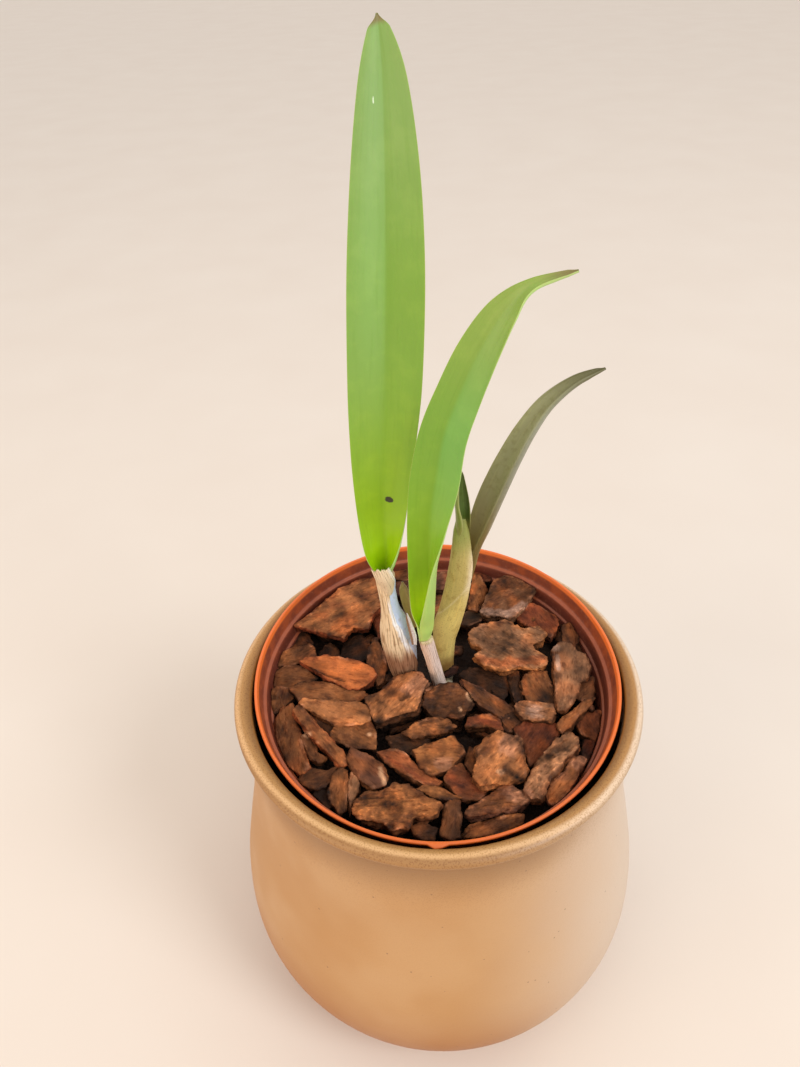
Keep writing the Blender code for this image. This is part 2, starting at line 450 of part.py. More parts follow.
def add_nub(pot):
    """The small moulding mark that stands out of the edge's front."""
    near, far = (-POT_EDGE_R - reach for reach in NUB_REACH)
    top, bottom = (-depth for depth in NUB_DEPTHS)
    nub = box("nub", *NUB_X, far, near, bottom, top)
    apply_boolean(pot, "UNION", cutter=nub)
    remove([nub])


def pot_inner_radius(depth):
    """Inner radius of the nursery pot's wall at a depth below its edge."""
    for (r0, d0), (r1, d1) in zip(POT_INSIDE, POT_INSIDE[1:]):
        if depth <= d1:
            return r0 + (r1 - r0) * (depth - d0) / (d1 - d0)
    return POT_INSIDE[-1][0]


def lay_chip(spec):
    """Lays a chip on its sloping plane: its centre, the turn of its own axes, its corners and thickness."""
    depth, thick, rise_right, rise_back, corners = spec
    normal = Vector((-math.tan(math.radians(rise_right)), -math.tan(math.radians(rise_back)), 1)).normalized()
    sights = [Vector((x, y, -READ_DEPTH)) - EYE for x, y in corners]
    middle = sum(sights, Vector()) / len(sights)
    centre = EYE + middle * ((depth + EYE.z) / (READ_DEPTH + EYE.z))
    spots = [EYE + sight * ((centre - EYE).dot(normal) / sight.dot(normal)) for sight in sights]
    ends = max(itertools.combinations(spots, 2), key=lambda pair: (pair[1] - pair[0]).length)
    along = (ends[1] - ends[0]).normalized()
    turn = Matrix((along, normal.cross(along), normal)).transposed()
    flat = [turn.transposed() @ (spot - centre) for spot in spots]
    return centre, turn, [(p.x, p.y) for p in flat], thick


def chip(laid, rng):
    """One split chip: a broad face, a rougher back and broken sides, in the pot's own frame."""
    centre, turn, corners, thick = laid
    lift = [rng.uniform(-CHIP_ROUGHNESS, CHIP_ROUGHNESS) for _ in corners]
    points = []
    for share, level in CHIP_RINGS:
        for (px, py), bump in zip(corners, lift):
            points.append(Vector((px * share, py * share, thick * level + bump)))
    n = len(corners)
    points.append(Vector((0, 0, 0)))
    points.append(Vector((0, 0, -thick)))
    faces = []
    for k in range(n):
        k2 = (k + 1) % n
        faces.append((3 * n, k, k2))
        faces.append((3 * n + 1, 2 * n + k2, 2 * n + k))
        for ring in (0, n):
            faces.append((ring + k, ring + n + k, ring + n + k2))
            faces.append((ring + k, ring + n + k2, ring + k2))
    return [turn @ p + centre for p in points], faces


def merge_flat_faces(obj):
    """Merges faces that lie nearly in one plane, and splits the result into triangles."""
    bm = bmesh.new()
    bm.from_mesh(obj.data)
    bmesh.ops.dissolve_limit(bm, angle_limit=FLAT_ANGLE, verts=bm.verts, edges=bm.edges)
    bmesh.ops.triangulate(bm, faces=bm.faces)
    bm.to_mesh(obj.data)
    bm.free()


def filler_specs(rng):
    """Smaller chips, dropped between the ones that show and a little deeper."""
    specs, spots = [], []
    while len(specs) < FILLER_CHIPS:
        a = rng.uniform(0, 2 * math.pi)
        r = FILLER_REACH * math.sqrt(rng.random())
        x, y = r * math.cos(a), r * math.sin(a)
        near_plant = math.hypot(x - PLANT_CENTRE[0], y - PLANT_CENTRE[1]) < PLANT_CLEARANCE
        if near_plant or any(math.hypot(x - u, y - v) < FILLER_SPACING for u, v in spots):
            continue
        spots.append((x, y))
        half_length, half_width = rng.uniform(*FILLER_HALF_LENGTH), rng.uniform(*FILLER_HALF_WIDTH)
        yaw = rng.uniform(0, math.pi)
        cos, sin, corners = math.cos(yaw), math.sin(yaw), []
        for k in range(FILLER_CORNERS):
            a = 2 * math.pi * k / FILLER_CORNERS
            u, v = math.cos(a) * half_length * rng.uniform(*FILLER_UNEVEN), math.sin(a) * half_width
            corners.append((x + u * cos - v * sin, y + u * sin + v * cos))
        specs.append((rng.uniform(*FILLER_DEPTH), rng.uniform(*FILLER_THICK),
                      rng.uniform(*FILLER_TILT), rng.uniform(*FILLER_TILT), corners))
    return specs


def pile_depth(x, y, chips):
    """Depth of the packed core at a spot: it rises into the underside of the chip above it."""
    depth = BARK_BASE_DEPTH
    for centre, turn, corners, thick in chips:
        normal = turn.col[2]
        high = centre.z - ((x - centre.x) * normal.x + (y - centre.y) * normal.y) / normal.z
        spot = turn.transposed() @ (Vector((x, y, high)) - centre)
        if in_outline(spot.x, spot.y, [(u * UNDER_SHARE, v * UNDER_SHARE) for u, v in corners]):
            depth = min(depth, thick - high - CHIP_SINK)
    return depth


def in_outline(x, y, corners):
    """Whether a spot lies inside an outline: a line from it crosses the outline an odd number of times."""
    inside = False
    for (x0, y0), (x1, y1) in zip(corners, corners[1:] + corners[:1]):
        if (y0 > y) != (y1 > y) and x < x0 + (x1 - x0) * (y - y0) / (y1 - y0):
            inside = not inside
    return inside


def bark_core(chips):
    """The packed bark below the top chips, filling the pot from its floor."""
    bottom = POT_DEPTH - POT_FLOOR - GAP
    levels = [bottom, BARK_WAIST_DEPTH, BARK_BASE_DEPTH + BARK_SHOULDER]
    points = [(0.0, 0.0, -bottom)]
    for depth in levels:
        for k in range(BARK_SPOKES):
            a = 2 * math.pi * k / BARK_SPOKES
            r = pot_inner_radius(depth) - BARK_CLEARANCE
            points.append((r * math.cos(a), r * math.sin(a), -depth))
    outer = pot_inner_radius(BARK_BASE_DEPTH) - BARK_CLEARANCE
    for i in range(BARK_RINGS):
        r = outer * (1 - i / BARK_RINGS)
        for k in range(BARK_SPOKES):
            a = 2 * math.pi * (k + 0.5 * (i % 2)) / BARK_SPOKES
            x, y = r * math.cos(a), r * math.sin(a)
            depth = BARK_BASE_DEPTH if i == 0 else pile_depth(x, y, chips)
            points.append((x, y, -depth))
    points.append((0.0, 0.0, -pile_depth(0, 0, chips)))
    faces = []
    rings = len(levels) + BARK_RINGS
    for k in range(BARK_SPOKES):
        k2 = (k + 1) % BARK_SPOKES
        faces.append((0, 1 + k2, 1 + k))
        for i in range(rings - 1):
            a, b = 1 + i * BARK_SPOKES, 1 + (i + 1) * BARK_SPOKES
            faces.append((a + k, a + k2, b + k2))
            faces.append((a + k, b + k2, b + k))
        last = 1 + (rings - 1) * BARK_SPOKES
        faces.append((last + k, last + k2, len(points) - 1))
    return points, faces


def stem(stations, sides, per_span, extra=0.0, reach_up=0.0):
    """A closed round or flattened stem along its stations; extra widens it, for the hole it stands in."""
    rows = smooth_path(stations, per_span)
    if reach_up:
        rows = rows + [(*rows[-1][:2], rows[-1][2] + reach_up, *rows[-1][3:])]
    points = []
    for i, (x, y, z, half_w, half_d) in enumerate(rows):
        ahead, behind = rows[min(i + 1, len(rows) - 1)], rows[max(i - 1, 0)]
        along = (Vector(ahead[:3]) - Vector(behind[:3])).normalized()
        side = Vector((1, 0, 0)) if abs(along.z) > 0.5 else Vector((0, 0, 1))
        side = (side - along * side.dot(along)).normalized()
        front = along.cross(side)
        for k in range(sides):
            a = 2 * math.pi * k / sides
            points.append(Vector((x, y, z)) + side * math.cos(a) * (half_w + extra)
                          + front * math.sin(a) * (half_d + extra))
    faces = [tuple(range(sides))[::-1]]
    for i in range(len(rows) - 1):
        for k in range(sides):
            a, b = i * sides, (i + 1) * sides
            k2 = (k + 1) % sides
            faces.append((a + k, a + k2, b + k2, b + k))
    last = (len(rows) - 1) * sides
    faces.append(tuple(range(last, last + sides)))
    return points, faces


def in_collection(name, parts):
    """A collection of plain mesh objects, one for each (points, faces)."""
    group = bpy.data.collections.new(name)
    bpy.context.scene.collection.children.link(group)
    for points, faces in parts:
        obj = make_object(name + "_piece", points, faces)
        bpy.context.scene.collection.objects.unlink(obj)
        group.objects.link(obj)
    return group


def drop_collection(group):
    remove(group.objects)
    bpy.data.collections.remove(group)


def root_stations(route, extra=0.0):
    last = len(route) - 1
    radii = [ROOT_R * (1.0 - (1.0 - ROOT_TIP_SHARE) * i / last) + extra for i in range(last + 1)]
    return [(*p, r, r) for p, r in zip(route, radii)]


def rhizome_and_roots(mat):
    body = make_object("rhizome_roots", *stem(RHIZOME, RHIZOME_SIDES, 2), mat)
    roots = in_collection("roots", [stem(root_stations(r), ROOT_SIDES, 1) for r in ROOTS])
    apply_boolean(body, "UNION", collection=roots)
    drop_collection(roots)
    return body


def bark_bed(mat):
    """Core and chips in one body, trimmed to the pot and holed for the plant."""
    rng = random.Random(BARK_SEED)
    laid = [lay_chip(spec) for spec in CHIPS + filler_specs(rng)]
    points, faces = bark_core(laid)
    bed = make_object("bark_bed", to_world(points), faces, mat)
    pieces = []
    for one in laid:
        chip_points, chip_faces = chip(one, rng)
        pieces.append((to_world(chip_points), chip_faces))
    chips = in_collection("chips", pieces)
    apply_boolean(bed, "UNION", collection=chips, solver="MANIFOLD")
    drop_collection(chips)
    trim_to_pot(bed)
    keep_main_body(bed)
    cut_plant_holes(bed)
    keep_main_body(bed)
    merge_flat_faces(bed)
    return bed


def trim_to_pot(bed):
    """Keeps the chips off the nursery pot's wall."""
    low = -POT_DEPTH + POT_FLOOR + TRIM_FLOOR_CLEARANCE
    profile = [(0.0, low), (POT_INSIDE[-1][0] - TRIM_CLEARANCE, low)]
    profile += [(r - TRIM_CLEARANCE, -d) for r, d in POT_INSIDE[-2::-1]]
    profile += [(POT_INSIDE[0][0] - TRIM_CLEARANCE, ROOM_TOP), (0.0, ROOM_TOP)]
    points, faces = revolve(profile, POT_SIDES)
    room = make_object("room", to_world(points), faces)
    apply_boolean(bed, "INTERSECT", cutter=room, solver="MANIFOLD")
    remove([room])


def cut_plant_holes(bed):
    """Plain holes for the three growths, open at the top, over a hollow for rhizome and roots."""
    hollow = [stem(RHIZOME, RHIZOME_SIDES, 2, extra=HOLE_GAP)]
    hollow += [stem(root_stations(r, HOLE_GAP), ROOT_SIDES, 1) for r in ROOTS]
    for stations in (PSEUDOBULB, SHOOT_2, SHOOT_3):
        x, y, z, half_w, half_d = stations[0]
        low = (x, y, z - HOLE_START, half_w, half_d)
        hollow.append(stem([low] + stations[:4], STEM_SIDES, 1, extra=HOLE_GAP, reach_up=HOLE_REACH))
    cutters = in_collection("hollow", hollow)
    for cutter in list(cutters.objects):
        apply_boolean(bed, "DIFFERENCE", cutter=cutter, solver="MANIFOLD")
    drop_collection(cutters)


def wing(lift, half_width, share):
    """A point of half a leaf's cross-section, and its slope, which grows from the midrib to the margin."""
    lift = math.radians(lift)
    u = v = 0.0
    for k in range(WING_STEPS):
        slope = lift * (WING_START + (1 - WING_START) * share * (k + 0.5) / WING_STEPS)
        u += math.cos(slope) * share * half_width / WING_STEPS
        v += math.sin(slope) * share * half_width / WING_STEPS
    return u, v, lift * (WING_START + (1 - WING_START) * share)


def leaf_section(half_width, lift_left, lift_right):
    """Points (across, up, normal across, normal up, share) of the upper face, left to right."""
    section = []
    for s in LEAF_SAMPLES:
        lift = lift_left if s < 0 else lift_right
        u, v, slope = wing(lift, half_width, abs(s))
        sign = -1 if s < 0 else 1
        tilt = 0.0 if s == 0 else slope * sign
        section.append((sign * u, v, -math.sin(tilt), math.cos(tilt), abs(s)))
    return section


def leaf(name, stations, mat, thick_mid=LEAF_THICK_MID, thick_edge=LEAF_THICK_EDGE):
    """A channelled leaf: an upper face along its stations, and a lower face under it."""
    rows = smooth_path(stations, LEAF_ROWS_PER_SPAN)
    width = len(LEAF_SAMPLES)
    points = []
    for i, row in enumerate(rows):
        x, y, z, half_width, lift_left, lift_right, turn, rise = row
        ahead, behind = rows[min(i + 1, len(rows) - 1)], rows[max(i - 1, 0)]
        along = (Vector(ahead[:3]) - Vector(behind[:3])).normalized()
        turn, rise = math.radians(turn), math.radians(rise)
        face = Vector((math.sin(turn) * math.cos(rise), -math.cos(turn) * math.cos(rise), math.sin(rise)))
        face = (face - along * face.dot(along)).normalized()
        side = along.cross(face)
        upper, lower = [], []
        half_width = max(half_width, LEAF_MIN_HALF_WIDTH)
        for u, v, nu, nv, share in leaf_section(half_width, lift_left, lift_right):
            thick = max(thick_mid + (thick_edge - thick_mid) * share, LEAF_MIN_THICK)
            upper.append(Vector((x, y, z)) + side * u + face * v)
            lower.append(upper[-1] - (side * nu + face * nv) * thick)
        points += upper + lower
    faces = []
    ring = 2 * width
    for i in range(len(rows) - 1):
        a, b = i * ring, (i + 1) * ring
        for j in range(width - 1):
            faces.append((a + j, a + j + 1, b + j + 1))
            faces.append((a + j, b + j + 1, b + j))
            faces.append((a + width + j, b + width + j + 1, a + width + j + 1))
            faces.append((a + width + j, b + width + j, b + width + j + 1))
        for j in (0, width - 1):
            faces.append((a + j, b + j, b + width + j, a + width + j))
    for base in (0, (len(rows) - 1) * ring):
        for j in range(width - 1):
            faces.append((base + j, base + j + 1, base + width + j + 1, base + width + j))
    return make_object(name, points, faces, mat)


def pseudobulb(mat):
    """The first growth's slim bulb in its sheath, with the sheath's collar joined on."""
    bulb = make_object("pseudobulb_1", *stem(PSEUDOBULB, STEM_SIDES, 2), mat)
    collar = leaf("collar", SHEATH_1_COLLAR, mat, thick_mid=0.8, thick_edge=0.7)
    apply_boolean(bulb, "UNION", cutter=collar)
    remove([collar])


def build():
    remove(bpy.data.objects)
    stoneware = material("stoneware", (0.52, 0.36, 0.22), 0.45)
    plastic = material("terracotta_plastic", (0.62, 0.17, 0.05), 0.5)
    bark = material("bark", (0.16, 0.075, 0.035), 0.9)
    root = material("root", (0.55, 0.5, 0.36), 0.7)
    papery = material("papery_sheath", (0.66, 0.55, 0.38), 0.75)
    leaf_green = material("leaf_green", (0.17, 0.37, 0.03), 0.4)
    young_green = material("young_green", (0.32, 0.33, 0.09), 0.45)
    bronze_green = material("bronze_green", (0.16, 0.15, 0.08), 0.42)
    cachepot(stoneware)
    nursery_pot(plastic)
    bark_bed(bark)
    rhizome_and_roots(root)
    pseudobulb(papery)
    make_object("shoot_2", *stem(SHOOT_2, STEM_SIDES, 2), papery)
    make_object("shoot_3", *stem(SHOOT_3, STEM_SIDES, 2), young_green)
    leaf("leaf_1", LEAF_1, leaf_green)
    leaf("leaf_2", LEAF_2, leaf_green)
    leaf("sheath_2_back", SHEATH_2_BACK, young_green, thick_mid=0.8, thick_edge=0.7)
    leaf("sheath_2_flap", SHEATH_2_FLAP, papery, thick_mid=0.7, thick_edge=0.65)
    leaf("leaf_3_short", LEAF_3_SHORT, young_green, thick_mid=1.0)
    leaf("leaf_3_long", LEAF_3_LONG, bronze_green, thick_mid=1.2)


build()
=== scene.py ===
"""Looks of the potted cattleya orchid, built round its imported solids.

Lengths are named in millimetres, as in the construction, and mesh_object turns them into metres.
The leaves, stems, pots and bark chips repeat the construction's own stations and are sampled finer.
"""
import itertools
import math
import random

import bmesh
import bpy
from mathutils import Matrix, Vector, noise


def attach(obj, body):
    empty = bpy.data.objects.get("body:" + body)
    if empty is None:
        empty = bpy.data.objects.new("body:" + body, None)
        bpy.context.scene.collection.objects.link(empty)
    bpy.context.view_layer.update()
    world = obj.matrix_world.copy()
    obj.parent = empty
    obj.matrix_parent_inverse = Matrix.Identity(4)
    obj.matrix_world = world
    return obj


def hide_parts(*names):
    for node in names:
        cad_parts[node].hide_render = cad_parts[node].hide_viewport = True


MM = 0.001
BODY = "root"

CAMERA_PLACE = (-9.91, -176.94, 336.73)
CAMERA_PITCH = math.radians(38.411)
CAMERA_ROLL = math.radians(-2.463)
CAMERA_LENS = 800 / 1067 * 36

# Stoneware cachepot: stations are (radius, height) on the outside.
CACHEPOT_FOOT_R = 47.5
CACHEPOT_BELLY = [(48.5, 0.8), (54.5, 3.5), (61.5, 9.0), (69.6, 19.0), (74.0, 34.0), (73.4, 52.0),
                  (70.2, 70.0), (66.2, 90.0), (64.0, 108.0), (62.8, 122.0), (62.6, 131.6)]
CACHEPOT_BEAD_R = 63.4
CACHEPOT_BEAD_Z = 134.5
CACHEPOT_BEAD_HALVES = (2.8, 1.9)
CACHEPOT_WALL = 4.4
CACHEPOT_NECK_WALL = 2.3
CACHEPOT_FLOOR = 7.0
CACHEPOT_FLOOR_FILLET = 8.0

# Nursery pot: depths run down from its edge, in the pot's own tilted frame.
POT_EDGE_R = 60.0
POT_DEPTH = 105.0
POT_TILT = math.radians(4.6)
POT_CENTRE = Vector((0.1, 2.3, 136.6))
POT_INSIDE = [(59.1, 0.0), (58.6, 1.4), (57.7, 5.2), (56.7, 5.6), (55.9, 10.0), (55.1, 10.4), (41.4, 104.2)]
POT_OUTSIDE = [(59.5, 1.2), (58.4, 5.7), (57.4, 6.1), (56.6, 10.5), (55.8, 10.9), (42.8, POT_DEPTH - 0.6),
               (42.4, POT_DEPTH)]
POT_FLOOR = 1.2
LEDGE_DEPTHS = (5.4, 10.2)
DRAIN_HOLES, DRAIN_HOLE_R, DRAIN_RING_R, DRAIN_SIDES = 6, 3.5, 29.0, 24
NUB_X = (-4.7, -2.0)
NUB_REACH = 1.25
TURNED_SIDES = 180

# Bark: a packed core, with split chips of pine bark piled on it.
BARK_BASE_DEPTH = 15.5
BARK_SEED = 11
CHIP_SINK = 1.6
CHIP_ROUGHNESS = 0.35
CHIP_RINGS = ((1.01, 0.0), (1.02, -0.2), (0.97, -0.6), (0.85, -1.0))
# Painted shade: chips darken by this share as they lie deeper, between these depths.
DEEP_SHADE = 0.45
DEEP_SHADE_DEPTHS = (6.5, 11.0)
UNDER_SHARE = 0.6
FILLER_CHIPS = 16
FILLER_CORNERS = 6
FILLER_REACH = 51.0
FILLER_SPACING = 8.0
PLANT_CENTRE = (-3.0, 10.0)
PLANT_CLEARANCE = 11.0
CRUMBS = 90
CRUMB_CORNERS = 5
CRUMB_CORNER_TURN = 1.26
CHIP_GRAIN, FILLER_GRAIN, CRUMB_GRAIN = 0.42, 0.8, 0.5  # size of the fine faces
CORE_RINGS, CORE_SPOKES = 40, 120
CORE_DEPTHS = (60.0, 24.0)
CORE_CLEARANCE = 0.5
# The core's tone is near-black, painted shade in the gaps between the chips.
CORE_SHADE_TONE = (42, 27, 19)
LEFT_CHIPS_END = -6.0
WALL_CLEARANCE = 0.4

# Chips that show: (depth of the top, thickness, rise to the right, rise to the back, face tone, edge
# tone, ruggedness, corners). The rises are slopes in degrees. The corners (x, y) are measured from the
# pot's axis, as the viewer's EYE sees them on a plane READ_DEPTH below the lip.
EYE = Vector((-10.0, -163.0, 214.0))
READ_DEPTH = 7.0
CHIPS = [
    (5, 5, 0, 3, "tan", "red", 0.4, [(-50, 28), (-45, 33), (-38, 40), (-34, 45), (-26, 50), (-21, 51),
        (-16, 45), (-17, 36), (-21, 32), (-23, 25), (-29, 25.5), (-31.5, 20.5), (-38, 23.5), (-44, 26)]),
    (8, 5, 0, 0, "red", "dark", 0.4, [(-21, 36), (-15, 38), (-12, 30), (-14, 21), (-19, 20), (-21, 27)]),
    (10, 5, 0, 4, "dark", "dark", 0.4, [(-33, 13), (-31, 20), (-26, 22), (-22, 20), (-22, 13), (-26, 9)]),
    (8, 5, 4, 5, "brown", "umber", 0.5, [(-55, 10), (-54, 15), (-50, 17.5), (-44, 19.5), (-42, 17),
        (-41, 13.5), (-45, 11), (-50, 9)]),
    (11, 4, 0, 0, "dark", "dark", 0.4, [(-53, 18), (-51, 26), (-45, 25), (-42, 19), (-48, 16)]),
    (5.5, 6, -3, 8, "orange", "red", 0.15, [(-47, 11.5), (-44, 13), (-35, 13.3), (-27, 11), (-21, 7.5),
        (-20, 4), (-22.5, 0.5), (-26, -1.2), (-30, -1), (-36, 3), (-41, 7)]),
    (7.5, 5, 0, 4, "umber", "dark", 0.6, [(-23, 16), (-20.5, 20.5), (-18, 16), (-16.5, 8), (-17.5, 1),
        (-19.7, -0.5), (-21, 5), (-23, 9.5)]),
    (8.5, 5, 3, 2, "brown", "dark", 0.3, [(-56, 2), (-55, 8), (-51, 10), (-45, 9), (-40.5, 4),
        (-44, 1), (-51, -0.5)]),
    (7.3, 5, -2, 2, "brown", "dark", 0.25, [(-50, 0.5), (-45, 3), (-38, 2.7), (-31, 0), (-24.5, -2.3),
        (-22.5, -4.3), (-28, -7), (-38, -6), (-46, -5)]),
    (9, 5, 0, 6, "brown", "umber", 0.3, [(-56.5, -1), (-53, 1.5), (-49, 0), (-47.5, -4), (-50, -7),
        (-54, -9.5), (-56, -6)]),
    (5.3, 5, 0, 4, "tan", "brown", 0.25, [(-46.3, -6), (-44.5, -3.7), (-36, -5.2), (-26, -6),
        (-22.5, -8.5), (-22, -13.5), (-25, -15.8), (-33.8, -15.4), (-38, -12), (-42, -9.3)]),
    (7.2, 6, 0, 10, "brown", "dark", 0.4, [(-34.5, -16), (-31, -14.3), (-22, -13.3), (-20.4, -18),
        (-20.3, -25), (-27, -24.3), (-35.5, -20)]),
    (3.8, 9, 3, 4, "tan", "dark", 0.6, [(-24, -4.6), (-20, -2.6), (-16.5, 0), (-14.5, 3.2), (-8, 5),
        (-5, 4.2), (-2.3, 0.8), (-4.5, -3), (-5.4, -7), (-7, -10.5), (-14, -12.9), (-20.8, -14.8),
        (-22.6, -10)]),
    (5.3, 9, -3, 18, "umber", "dark", 0.8, [(-4.6, -3.6), (-1, -1.4), (3, -0.7), (7.3, -1), (10, -4),
        (12, -8.7), (10, -12), (6.6, -15.3), (-2, -13.7), (-5.2, -9)]),
    (5.7, 5, 0, 10, "brown", "umber", 0.8, [(-12, -18.8), (-8, -16), (-4, -14), (0, -13.3), (3, -15.3),
        (5.4, -17.8), (1, -19.8), (-4, -20.9), (-9, -20.4)]),
    (6.8, 5, -4, 6, "red", "umber", 0.3, [(8.4, -17.6), (9.3, -14.2), (12, -13.2), (17, -13.5),
        (19.7, -15.6), (20.4, -20), (18, -20), (15.5, -17.8), (12, -17.5)]),
    (3.8, 8, 0, 4, "tan", "brown", 0.5, [(10.8, -25.3), (14, -22.5), (18.5, -19.8), (22, -21),
        (25.7, -23.3), (25.5, -30), (26.3, -33.5), (25, -36.2), (20.5, -37.8), (11, -39), (8.9, -35.6),
        (10.8, -31)]),
    (5.5, 6, 2, 5, "ochre", "umber", 0.4, [(-9, -25.5), (-5, -23.6), (0, -22), (4.4, -20.9),
        (7.7, -26.7), (5, -29.8), (1.8, -33.2), (-4, -34.3), (-6.8, -31.3)]),
    (9, 5, 0, 0, "dark", "dark", 0.4, [(-17, -20), (-10, -19), (-4, -20), (-3, -24), (-8, -27),
        (-15, -25.5)]),
    (6.3, 5, -4, 6, "rust", "umber", 0.2, [(-20.4, -25.4), (-16, -24.3), (-12, -25.2), (-9, -29.3),
        (-5, -33.5), (0, -36.6), (-1.6, -38.2), (-6, -37.9), (-12, -33.6), (-17.5, -28.8)]),
    (7.3, 5, -6, 4, "red", "umber", 0.3, [(0.3, -36), (3, -32.3), (5.2, -31), (8.3, -34), (10, -38),
        (14, -39.5), (11, -43), (6, -43), (3, -40.5)]),
    (8.3, 4, 0, 0, "umber", "dark", 0.3, [(7, -28.5), (9, -24.6), (11, -26.5), (11, -32), (9, -35),
        (6.6, -31.5)]),
    (6.8, 4, -4, 2, "ochre", "umber", 0.3, [(-8.4, -38.8), (-6.5, -37.3), (-1, -38.2), (4.8, -42.2),
        (2, -43.6), (-4, -42)]),
    (8, 5, 0, 6, "umber", "dark", 0.3, [(-2, -53.6), (-1.2, -46), (1.2, -42.5), (4.8, -43), (4.3, -48),
        (4, -54.3), (0.8, -55.3)]),
    (5.3, 6, 0, 3, "ochre", "umber", 0.9, [(-27.2, -44.5), (-26, -41), (-24, -38.7), (-20, -39),
        (-15, -37.2), (-11, -37.3), (-6, -40.6), (-1.1, -44.2), (-2.6, -47.2), (-5.5, -48.3),
        (-9.5, -47.8), (-11.5, -50.7), (-15.5, -51.7), (-18.5, -49.2), (-25.6, -48)]),
    (7, 5, 0, 8, "grey", "umber", 0.3, [(-29.4, -37), (-28, -32.2), (-25.8, -34), (-25.5, -37),
        (-27, -42), (-28.3, -47.3)]),
    (5.8, 5, -6, 4, "mauve", "brown", 0.15, [(-29.3, -28), (-28.4, -23.2), (-25, -25.4),
        (-21.5, -26.9), (-18.3, -30), (-16.9, -34), (-17.4, -37.4), (-21, -38.4), (-26, -35)]),
    (7.3, 5, 3, 5, "brown", "umber", 0.4, [(-35.2, -38), (-33.7, -33.2), (-31, -30.6), (-29, -32),
        (-28.7, -38), (-29.5, -44), (-31.6, -45.3), (-34.5, -42)]),
    (8, 5, 8, 3, "brown", "rust", 0.3, [(-53.5, -12), (-51.5, -7.3), (-48, -6), (-46, -13),
        (-43.5, -22), (-41, -30), (-44, -32.5), (-49, -28.5), (-52, -20)]),
    (5, 5, -5, 6, "brown", "rust", 0.3, [(-48.2, -8.7), (-46, -6.6), (-41, -12), (-36, -18.3),
        (-31, -24.3), (-29.2, -29), (-31.2, -30.4), (-37.5, -23.3), (-42, -17.8)]),
    (8, 4, 0, 5, "umber", "dark", 0.3, [(-44, -8.5), (-40, -10), (-36, -13.5), (-32.5, -16),
        (-33.5, -20), (-36.5, -19.5), (-40.5, -14.5)]),
    (7.3, 4, 0, 8, "umber", "brown", 0.3, [(-44.6, -18.8), (-43, -17.2), (-41, -19), (-39.5, -22.5),
        (-38.6, -25.3), (-36, -26.7), (-38.5, -29), (-42, -26)]),
    (8.6, 4, 4, 4, "umber", "dark", 0.3, [(-45, -34), (-41, -30.3), (-36, -31), (-31.5, -29.3),
        (-32.5, -33), (-36, -37), (-41, -37.5)]),
    (10, 4, 0, 0, "dark", "dark", 0.3, [(-40, -40), (-38, -35.5), (-33.5, -38), (-33, -43),
        (-36, -44.5)]),
    (9, 4, 0, 4, "umber", "dark", 0.3, [(-11.5, -50.5), (-7, -48.8), (-2.5, -51.5), (-4, -55),
        (-9, -53.8)]),
    (5, 6, 0, 3, "grey", "ochre", 0.6, [(12.8, 18.5), (13.8, 22.3), (17.5, 24.3), (21, 25.6),
        (26.5, 26), (29.5, 23.4), (32.5, 22), (37.5, 22.8), (40, 19.5), (38.4, 16), (34.8, 14.4),
        (35.6, 12.2), (39.1, 9.4), (38.3, 5.5), (34.5, 4), (29, 5.2), (23, 3.9), (17, 6.8),
        (13.7, 10.6), (16.8, 13.4), (13.6, 16.3)]),
    (8, 5, 3, 4, "red", "rust", 0.3, [(31, 26), (32, 30), (36, 34), (40, 32.5), (46, 26), (44.5, 21),
        (41.5, 16.3), (38.5, 18.5)]),
    (4.8, 5, -3, 4, "grey", "umber", 0.3, [(45.5, 15.6), (41, 12), (40.4, 5), (39.6, -2), (38.7, -13),
        (41.6, -13.3), (44, -10), (47, -6.5), (48, -2), (51.5, -0.5), (53.3, 4), (52.3, 9.4),
        (49.5, 10.4), (48.3, 14.3)]),
    (8, 5, 0, 3, "umber", "dark", 0.3, [(47.5, -1.5), (53, 0), (53, -6), (50, -11), (45, -9), (46, -5)]),
    (6.3, 4, 5, 4, "brown", "umber", 0.3, [(51.5, -9), (48, -10), (43.5, -12.8), (39.3, -15.8),
        (37.4, -19), (38.6, -22.3), (41.2, -20.3), (44, -17), (48, -13.2)]),
    (7.3, 6, 2, 4, "brown", "umber", 0.3, [(28, -1), (29.5, 1), (33, 3.3), (38, 3), (38.5, -4),
        (38.3, -11), (34, -11), (29.4, -9.7), (28.6, -5)]),
    (6, 5, 2, 6, "grey", "umber", 0.7, [(24.6, -10.5), (27.5, -8.4), (31, -9), (37.5, -10.5),
        (38.5, -14), (36, -17.6), (31, -16.6), (27.3, -16.2), (26, -13.5)]),
    (8.5, 5, 0, 2, "red", "dark", 0.15, [(23.5, -19), (27.5, -16.5), (33, -17), (37.5, -17.5),
        (38.5, -21), (36, -25.5), (31, -30), (26.8, -33), (25.5, -26)]),
    (4.3, 8, 3, 5, "grey", "umber", 0.9, [(23.4, -41), (26, -36.8), (29.5, -31.5), (33, -27),
        (36.5, -23.7), (40, -21.4), (43.4, -23.3), (43, -27.6), (39.5, -30.8), (35, -35.6),
        (31.5, -39.2), (28.8, -44.2), (25.8, -43.4)]),
    (6, 6, 3, 6, "brown", "mauve", 0.3, [(29.9, -42), (32, -38.8), (36, -35.3), (40, -30.8),
        (43, -29.8), (44.6, -31.3), (42.5, -34.6), (40, -38.6), (37, -42), (33, -45.4), (30.3, -45.2)]),
    (6.8, 6, 2, 6, "umber", "mauve", 0.8, [(5.2, -47), (8, -44.8), (12, -42.4), (16, -40), (19.5, -38),
        (22, -40.4), (26.1, -43.2), (24.5, -45), (18.3, -47.7), (12, -48), (7, -48.7)]),
    (9, 5, 2, 5, "umber", "ochre", 0.4, [(4.3, -54), (7, -50.8), (12, -49), (23, -48.4), (22, -51),
        (16, -53.6), (9, -55)]),
